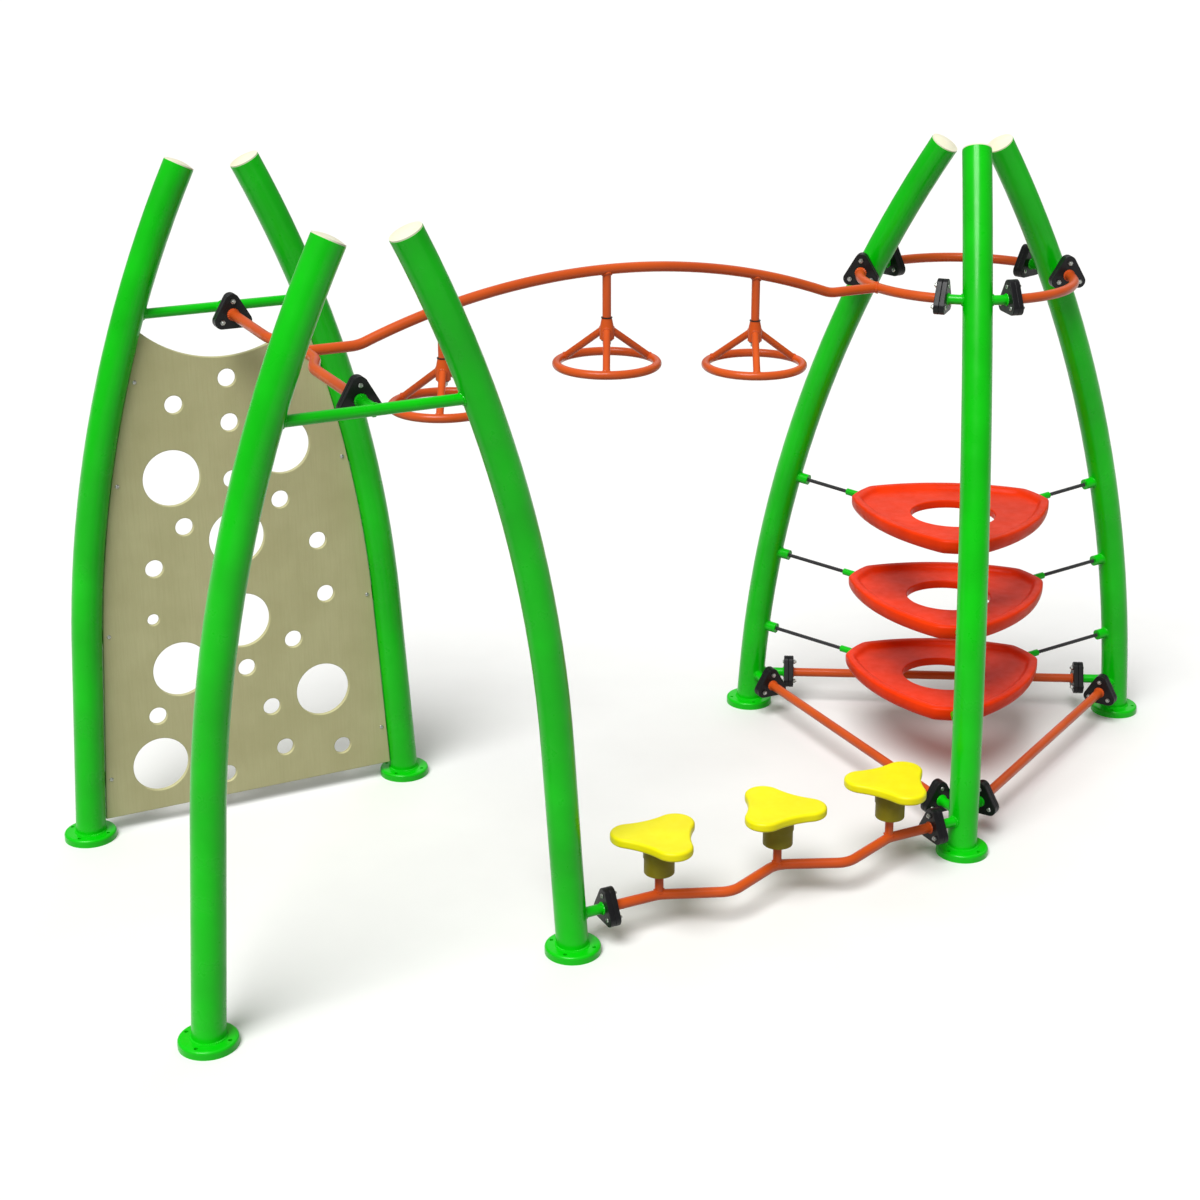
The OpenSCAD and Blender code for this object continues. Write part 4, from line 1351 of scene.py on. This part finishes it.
@dataclass
class StepRun:
    """The zigzag step rail with its three stepping pods."""

    plan: Layout = PLAN
    pitch: float = 0.489
    zigzag: float = 0.100
    bend_radius: float = 0.100
    top: float = 0.386
    thick: float = 0.036
    lobe_x: float = 0.106
    lobe_r: float = 0.070
    side: float = 0.111
    boss_r: float = 0.058
    boss_h: float = 0.120
    boss_wall: float = 0.009
    stem_r: float = 0.016
    edge: float = 0.011

    @property
    def middle_x(self) -> float:
        """Returns the middle pod's X in the model's frame."""
        left, right = self.plan.step_ends()
        return (left.x + right.x) / 2

    def pod_at(self, place: int) -> Vector:
        """Returns the point of the rail's line under a pod."""
        left, _ = self.plan.step_ends()
        return Vector((self.middle_x + place * self.pitch, left.y, left.z))

    def outline(self) -> Loop:
        """Returns the pod's three round lobes with hollow sides, anticlockwise."""
        half = self.lobe_x * math.sin(math.radians(60.0))
        dip = self.side - self.lobe_x / 2
        side_r = (dip**2 + half**2 - self.lobe_r**2) / (2 * (self.lobe_r - dip))
        centre = self.side + side_r
        spread = math.atan(half / (centre - self.lobe_x / 2))
        wide = math.radians(60.0) + spread
        points: Loop = []
        for k in range(3):
            middle = math.radians(90.0 + 120.0 * k)
            lobe = self.lobe_x * Vector((math.cos(middle), math.sin(middle)))
            for i in range(19):
                turn = middle - wide + 2 * wide * i / 18
                points.append(lobe + self.lobe_r * Vector((math.cos(turn), math.sin(turn))))
            beyond = middle + math.radians(60.0)
            hollow = centre * Vector((math.cos(beyond), math.sin(beyond)))
            for i in range(1, 8):
                turn = beyond + math.pi + spread * (1.0 - i / 4.0)
                points.append(hollow + side_r * Vector((math.cos(turn), math.sin(turn))))
        return points

    def build(self) -> None:
        """Builds the rail, the pods, the collars and the stems."""
        self.rail()
        finish_piece(solid_copy("pod_stems"), "coated_pod_stems", ORANGE, ["pod_stems"])
        finish_piece(solid_copy("pod_screws", Edge.FINE), "pod_screws_below", ZINC, ["pod_screws"])
        for name, place in (("left", -1), ("middle", 0), ("right", 1)):
            self.pod(name, place)
            self.boss(name, place)
        self.welds()

    def rail(self) -> None:
        """Bends the zigzag rail."""
        plan = self.plan
        left, right = plan.step_ends()
        off = plan.step_stub + plan.flange_t
        crest = self.bend_radius * (
            1.0 / math.cos(math.atan(2 * self.zigzag / self.pitch)) - 1.0
        )
        steps = ((-1.0, 0.0), (-0.5, -self.zigzag), (0.0, crest), (0.5, -self.zigzag), (1.0, 0.0))
        points = [
            Vector((self.middle_x + k * self.pitch, left.y + y, left.z)) for k, y in steps
        ]
        points.append(right - X_AXIS * off)
        run = Bender(left + X_AXIS * off, X_AXIS, plan.bar_r)
        run.follow(points, [self.bend_radius] * 5, Z_AXIS)
        finish_piece(run.done(), "zigzag_step_rail", ORANGE, ["step_rail"])

    def place(self, place: int) -> Matrix:
        """Returns where a pod stands on the ground plan, turned as it is mounted."""
        point = self.pod_at(place)
        turn = 0.0 if place == 0 else math.pi
        return Matrix.Translation((point.x, point.y, 0.0)) @ Matrix.Rotation(turn, 4, "Z")

    def pod(self, name: str, place: int) -> None:
        """Moulds one pod: soft edges, and a top that sinks a little between its lobes."""

        def crown(point: Vector) -> float:
            """Returns the slight fall of the top towards its middle."""
            reach = min(1.0, math.hypot(point.x, point.y) / (self.lobe_x + self.lobe_r))
            return -2.0 * MM * (1.0 - reach) ** 2

        work = plate(
            self.outline(), [], self.top - self.thick, self.top, self.edge, 5, crown
        )
        shape = bmesh.new()
        add_copy(shape, work, self.place(place))
        work.free()
        finish_piece(shape, f"moulded_pod_{name}", YELLOW, [f"pod_{name}"], even=True)

    def boss(self, name: str, place: int) -> None:
        """Moulds the two-tiered collar under a pod, in yellow plastic darkened to olive as painted
        shade.
        """
        high = self.top - self.thick
        low = high - self.boss_h
        waist = low + self.boss_h / 2
        small, wall = self.boss_r - 3.0 * MM, self.boss_wall
        corners = [
            (self.stem_r + 0.3 * MM, low + 12.0 * MM),
            (self.stem_r + 0.3 * MM, low),
            (small, low),
            (small, waist),
            (self.boss_r, waist),
            (self.boss_r, high),
            (small - wall + 3.0 * MM, high),
            (small - wall + 3.0 * MM, low + 12.0 * MM),
            (self.stem_r + 0.3 * MM, low + 12.0 * MM),
        ]
        work = spun(rounded(corners, 3.0 * MM), 72)
        shape = bmesh.new()
        add_copy(shape, work, self.place(place))
        work.free()
        finish_piece(shape, f"moulded_collar_{name}", PAINTED_SHADE_YELLOW, [f"boss_{name}"], even=True)

    def welds(self) -> None:
        """Builds the beads at the stems' feet."""
        work = bmesh.new()
        for place in (-1, 0, 1):
            point = self.pod_at(place)
            seat = Seat(point, X_AXIS, self.plan.bar_r)
            weld(work, point, Z_AXIS, self.stem_r, seat)
        finish_piece(work, "welds_on_the_step_rail", ORANGE)


@dataclass
class DishStack:
    """Three moulded dishes, each hung by three ropes between the tripod's posts."""

    plan: Layout = PLAN
    reach: float = 0.435
    side: float = 0.352
    hole_r: float = 0.1725
    rim_h: float = 0.060
    rim_up: float = 0.022
    lip_h: float = 0.040
    rim_flat: float = 0.036
    heel_in: float = 0.012
    heel_h: float = 0.026
    step_in: float = 0.016
    step_down: float = 0.022
    lip_w: float = 0.018
    lip_down: float = 0.005
    round_r: float = 12.0 * MM
    lug_r: float = 0.022
    lug_bead_r: float = 3.5 * MM
    rope_r: float = 0.008
    rope_rise: float = 0.036
    ferrule_l: float = 0.055
    grip: float = 0.032
    lug_l: float = 0.042
    strand_r: float = 3.1 * MM
    lay: float = 0.055
    steps: int = 180

    def levels(self) -> list[tuple[str, float]]:
        """Returns each dish's name and the height of its corners."""
        return [("low", 0.355), ("middle", 0.710), ("high", 1.070)]

    def edge_radius(self, turn: float) -> float:
        """Returns how far the dish's edge is from its axis at an angle, in radians."""
        sharp = self.side / (math.sqrt(3.0) - 1.0)
        far = sharp + self.side
        best = self.reach
        for degrees in self.plan.tripod_turns:
            away = turn - math.radians(degrees)
            across = sharp * math.sin(away)
            best = min(best, sharp * math.cos(away) + math.sqrt(far**2 - across**2))
        return best

    def build(self) -> None:
        """Builds the dishes, their ropes and their fittings."""
        for name, z in self.levels():
            self.dish(name, z)
            self.ropes(name, z)
        finish_piece(
            solid_copy("rope_ferrules"), "coated_rope_ferrules", GREEN, ["rope_ferrules"]
        )
        finish_piece(solid_copy("dish_inserts"), "steel_dish_inserts", ZINC, ["dish_inserts"])
        self.fitting_welds()

    def profile(self, edge: float) -> list[tuple[float, float]]:
        """Returns the dish's section where its edge is that far from the axis.

        Args:
            edge: Distance of the edge from the axis.

        Returns:
            Radius and height of each point, from the hole's lower lip round to its upper one.
        """
        low = self.rim_up - self.rim_h
        lip = low + self.lip_h
        rim = edge - self.rim_flat
        corners = [
            (self.hole_r, (low + lip) / 2),
            (self.hole_r, low),
            (edge - self.heel_in, low),
            (edge, low + self.heel_h),
            (edge, self.rim_up),
            (rim, self.rim_up),
            (rim - self.step_in, self.rim_up - self.step_down),
            (self.hole_r + self.lip_w, lip - self.lip_down),
            (self.hole_r, lip - self.lip_down),
            (self.hole_r, (low + lip) / 2),
        ]
        return rounded(corners, self.round_r, 4)

    def dish(self, name: str, z: float) -> None:
        """Moulds one dish by carrying its section round its axis."""
        work = bmesh.new()
        made = bmesh.ops.create_circle(
            work, cap_ends=False, segments=self.steps, radius=self.hole_r
        )
        ring = list(made["verts"])
        turns = [math.atan2(v.co.y, v.co.x) for v in ring]
        sections = [self.profile(self.edge_radius(turn)) for turn in turns]
        middle = self.plan.axis(z)
        edges = list(work.edges)
        for place in range(len(sections[0]) - 1):
            if place:
                made_here = bmesh.ops.extrude_edge_only(work, edges=edges)["geom"]
                ring = [item for item in made_here if isinstance(item, bmesh.types.BMVert)]
                kept = set(ring)
                edges = [
                    item
                    for item in made_here
                    if isinstance(item, bmesh.types.BMEdge) and set(item.verts) <= kept
                ]
            for vert, turn, section in zip(ring, turns, sections):
                radius, height = section[place]
                vert.co = middle + Vector(
                    (radius * math.cos(turn), radius * math.sin(turn), height)
                )
        rims = [e for e in work.edges if e.is_boundary]
        bmesh.ops.bridge_loops(work, edges=rims)
        bmesh.ops.recalc_face_normals(work, faces=work.faces)
        finish_piece(work, f"moulded_dish_{name}", RED, [f"dish_{name}"], crease=60.0)

    def rope_line(self, degrees: float, z: float) -> tuple[Vector, Vector, float]:
        """Returns a rope's start on the post's axis, its direction and its whole length."""
        start = self.plan.tripod_at(degrees, z + self.rope_rise)
        end = self.plan.axis(z) + self.plan.outward(degrees) * self.reach
        return start, (end - start).normalized(), (end - start).length

    def ropes(self, name: str, z: float) -> None:
        """Lays the three ropes of one dish, each of six strands round a core."""
        work = bmesh.new()
        for degrees in self.plan.tripod_turns:
            start, away, total = self.rope_line(degrees, z)
            first = self.plan.post_r + self.lug_l - self.grip
            length = total - self.ferrule_l + self.grip - first
            add_copy(work, self.rope(length), facing(start + away * first, away))
        finish_piece(work, f"laid_ropes_{name}", ROPE, [f"ropes_{name}"], crease=80.0)

    def rope(self, length: float) -> bmesh.types.BMesh:
        """Returns one rope along Z: six strands laid round a core."""
        work = bmesh.new()
        steps = max(8, round(length / (4.0 * MM)))
        for k in range(6):
            turn = math.tau * k / 6
            away = self.rope_r - self.strand_r
            made = bmesh.ops.create_circle(
                work,
                cap_ends=True,
                segments=10,
                radius=self.strand_r,
                matrix=Matrix.Translation((away * math.cos(turn), away * math.sin(turn), 0.0)),
            )
            ring = set(made["verts"])
            edges = [e for e in work.edges if set(e.verts) <= ring]
            last = bmesh.ops.spin(
                work,
                geom=edges,
                cent=(0.0, 0.0, 0.0),
                axis=Z_AXIS,
                dvec=(0.0, 0.0, length / steps),
                angle=math.tau * length / self.lay,
                steps=steps,
            )["geom_last"]
            ends = [item for item in last if isinstance(item, bmesh.types.BMEdge)]
            bmesh.ops.edgeloop_fill(work, edges=ends)
        bmesh.ops.create_cone(
            work,
            cap_ends=True,
            segments=12,
            radius1=self.rope_r * 0.5,
            radius2=self.rope_r * 0.5,
            depth=length,
            matrix=Matrix.Translation((0.0, 0.0, length / 2)),
        )
        bmesh.ops.recalc_face_normals(work, faces=work.faces)
        return work

    def fitting_welds(self) -> None:
        """Builds the beads where the rope lugs meet the posts."""
        work = bmesh.new()
        for _, z in self.levels():
            for degrees in self.plan.tripod_turns:
                start, away, _ = self.rope_line(degrees, z)
                seat = self.plan.tripod_seat(degrees, z + self.rope_rise)
                weld(work, start, away, self.lug_r, seat, self.lug_bead_r)
        finish_piece(work, "welds_on_the_rope_lugs", GREEN)


@dataclass
class ClimbingPanel:
    """The flat sheet with its finger and foot holes, screwed to tabs behind it."""

    plan: Layout = PLAN
    thick: float = 0.019
    low: float = 0.065
    gap: float = 0.003
    top_gap: float = 0.026
    dip_z: float = 1.860
    dip_r: float = 0.456
    hold_r: float = 0.110
    grip_r: float = 0.035
    peep_r: float = 0.023
    screw_in: float = 0.022
    tab_t: float = 0.006
    screw_r: float = 0.004
    screw_head_r: float = 0.008
    screw_head_h: float = 0.004
    screw_past: float = 0.010
    nut_across: float = 0.013
    nut_h: float = 0.007
    ease: float = 0.0035
    holds: tuple[tuple[float, float], ...] = (
        (0.421, 1.413),
        (0.859, 1.485),
        (0.658, 1.140),
        (0.660, 0.797),
        (0.403, 0.638),
        (0.973, 0.444),
        (0.296, 0.253),
    )
    grips: tuple[tuple[float, float], ...] = (
        (0.658, 1.777),
        (0.449, 1.697),
        (0.658, 1.603),
        (0.655, 1.378),
        (0.839, 1.270),
        (0.456, 1.214),
        (0.982, 1.079),
        (0.329, 1.064),
        (1.004, 0.852),
        (0.861, 0.682),
        (0.665, 0.596),
        (0.757, 0.410),
        (0.299, 0.459),
        (1.044, 0.181),
        (0.803, 0.224),
        (0.560, 0.157),
    )
    peep: tuple[float, float] = (0.310, 0.859)
    tab_heights: tuple[float, ...] = (0.230, 0.820, 1.410, 1.800)

    def side_x(self, z: float) -> float:
        """Returns the sheet's left edge at a height, in plan X."""
        return self.plan.bay.lean(z) + self.plan.post_r + self.gap

    def top_z(self, x: float) -> float:
        """Returns the height of the hollowed top edge at a plan X."""
        high = self.plan.high_z - self.plan.bar_r - self.top_gap
        away = x - self.plan.bay_w / 2
        if abs(away) >= self.dip_r:
            return high
        return min(high, self.dip_z + self.dip_r - math.sqrt(self.dip_r**2 - away**2))

    def outline(self) -> Loop:
        """Returns the sheet's outer edge in plan X and height, anticlockwise."""
        high = self.plan.high_z - self.plan.bar_r - self.top_gap
        rises = [self.low + (high - self.low) * i / 32 for i in range(33)]
        sides = [(self.side_x(z), z) for z in rises]
        sides = [(x, z) for x, z in sides if z < self.top_z(x) - 1.0 * MM]
        width = self.plan.bay_w
        left = sides[-1][0]
        right = [Vector((width - x, z)) for x, z in sides]
        across = [width - left - (width - 2 * left) * i / 48 for i in range(49)]
        over = [Vector((x, self.top_z(x))) for x in across]
        return right + over + [Vector(p) for p in reversed(sides)]

    def build(self) -> None:
        """Builds the sheet, its screws and its nuts."""
        holes = [round_loop(p, self.hold_r, 72) for p in self.holds]
        holes += [round_loop(p, self.grip_r, 40) for p in self.grips]
        holes.append(round_loop(self.peep, self.peep_r, 32))
        sheet = plate(self.outline(), holes, 0.0, self.thick, self.ease, 3)
        back = self.plan.at(0.0, self.plan.bay_d / 2 + self.thick / 2, 0.0)
        upright = Matrix.Translation(back) @ Matrix.Rotation(math.pi / 2, 4, "X")
        shape = bmesh.new()
        add_copy(shape, sheet, upright)
        sheet.free()
        finish_piece(shape, "holed_climbing_panel", KHAKI, ["climbing_panel"], even=True)
        self.fixings()

    def fixings(self) -> None:
        """Builds the eight screws and nuts that hold the sheet to its tabs."""
        plan = self.plan
        length = self.thick + self.tab_t + self.screw_past
        screw = button_screw(self.screw_head_r, self.screw_head_h, self.screw_r, length)
        nut = hex_nut(self.nut_across, self.nut_h, self.screw_r)
        screws, nuts = bmesh.new(), bmesh.new()
        for z in self.tab_heights:
            inside = self.side_x(z) + self.screw_in
            for x in (inside, plan.bay_w - inside):
                point = plan.at(x, plan.bay_d / 2 - self.thick / 2, z)
                place = facing(point, Y_AXIS)
                add_copy(screws, screw, place)
                back = Matrix.Translation((0.0, 0.0, self.thick + self.tab_t))
                add_copy(nuts, nut, place @ back)
        finish_piece(screws, "button_head_panel_screws", ZINC, ["panel_screws"])
        finish_piece(nuts, "hexagon_panel_nuts", ZINC, ["panel_nuts"])
        screw.free()
        nut.free()


# ---------------------------------------------------------------- studio


@dataclass(frozen=True)
class SoftSun:
    """A broad, even light from one direction, as from a wall of soft boxes.

    Attributes:
        name: The light's name.
        towards: Direction from the object to the light.
        spread: Angle that the light fills, in degrees.
        strength: Light on a surface that faces it.
    """

    name: str
    towards: tuple[float, float, float]
    spread: float
    strength: float

    def build(self) -> None:
        """Hangs the light."""
        lamp = bpy.data.lights.new(self.name, "SUN")
        lamp.angle = math.radians(self.spread)
        lamp.energy = self.strength
        holder = bpy.data.objects.new(self.name, lamp)
        holder.matrix_world = facing(Vector(self.towards) * 10.0, Vector(self.towards))
        bpy.context.scene.collection.objects.link(holder)


@dataclass(frozen=True)
class Studio:
    """A pale floor, soft lights, a white surround and the camera."""

    camera_at: tuple[float, float, float] = (-3.6093, -6.5502, 3.7132)
    yaw: float = math.radians(26.693)
    pitch: float = math.radians(19.264)
    lens: float = 61.74
    shift: tuple[float, float] = (-0.0147, -0.0392)
    floor_half: float = 60.0
    lights: tuple[SoftSun, ...] = (
        SoftSun("key_light", (-0.80, -0.62, 1.55), 34.0, 3.2),
        SoftSun("back_light", (0.7, 0.9, 1.0), 60.0, 0.35),
    )
    surround_light: float = 0.28

    def build(self) -> None:
        """Builds the camera first, then the floor, the surround and the lights."""
        self.camera()
        self.floor()
        self.surround()
        for light in self.lights:
            light.build()

    def camera(self) -> None:
        """Sets the camera up at the chosen viewpoint."""
        lens = bpy.data.cameras.new("camera")
        lens.lens = self.lens
        lens.sensor_width = 36.0
        lens.shift_x, lens.shift_y = self.shift
        lens.clip_end = 200.0
        holder = bpy.data.objects.new("camera", lens)
        forward = Vector(
            (
                math.sin(self.yaw) * math.cos(self.pitch),
                math.cos(self.yaw) * math.cos(self.pitch),
                -math.sin(self.pitch),
            )
        )
        holder.matrix_world = facing(Vector(self.camera_at), -forward)
        bpy.context.scene.collection.objects.link(holder)
        bpy.context.scene.camera = holder

    def floor(self) -> None:
        """Lays a large pale floor with a faint, fine mottle."""
        surface = Surface("pale_studio_floor")
        tone = surface.span(surface.noise(400.0, 4.0), 0.0, 1.0)
        surface.link("Base Color", surface.mix(tone, linear("#f6f6f4"), linear("#f3f3f1")))
        surface.set(Roughness=0.75)
        work = bmesh.new()
        bmesh.ops.create_grid(work, x_segments=8, y_segments=8, size=self.floor_half)
        mesh = bpy.data.meshes.new("studio_floor")
        work.to_mesh(mesh)
        work.free()
        mesh.materials.append(surface.material)
        floor = bpy.data.objects.new("studio_floor", mesh)
        bpy.context.scene.collection.objects.link(floor)
        floor.visible_diffuse = False

    def surround(self) -> None:
        """Lights the scene evenly from all round."""
        world = bpy.data.worlds.new("white_surround")
        world.use_nodes = True
        sky = world.node_tree.nodes["Background"]
        sky.inputs["Color"].default_value = linear("#ffffff")
        sky.inputs["Strength"].default_value = self.surround_light
        bpy.context.scene.world = world
        bpy.context.scene.view_settings.view_transform = "Standard"


def corners(box: Iterable[Iterable[float]]) -> list[list[float]]:
    """Returns a box's two corners as plain lists."""
    return [[float(value) for value in corner] for corner in box]


def main() -> None:
    """Builds the studio and every sub-assembly."""
    logging.basicConfig(level=logging.INFO, format="%(name)s: %(message)s")
    Studio().build()
    PostSet().build()
    PipeJoints().build()
    rail = RailRun()
    rail.build()
    for name, place in (("left", -1), ("middle", 0), ("right", 1)):
        HandWheel(name, place, rail).build()
    StepRun().build()
    DishStack().build()
    ClimbingPanel().build()


if __name__ == "__main__":
    main()
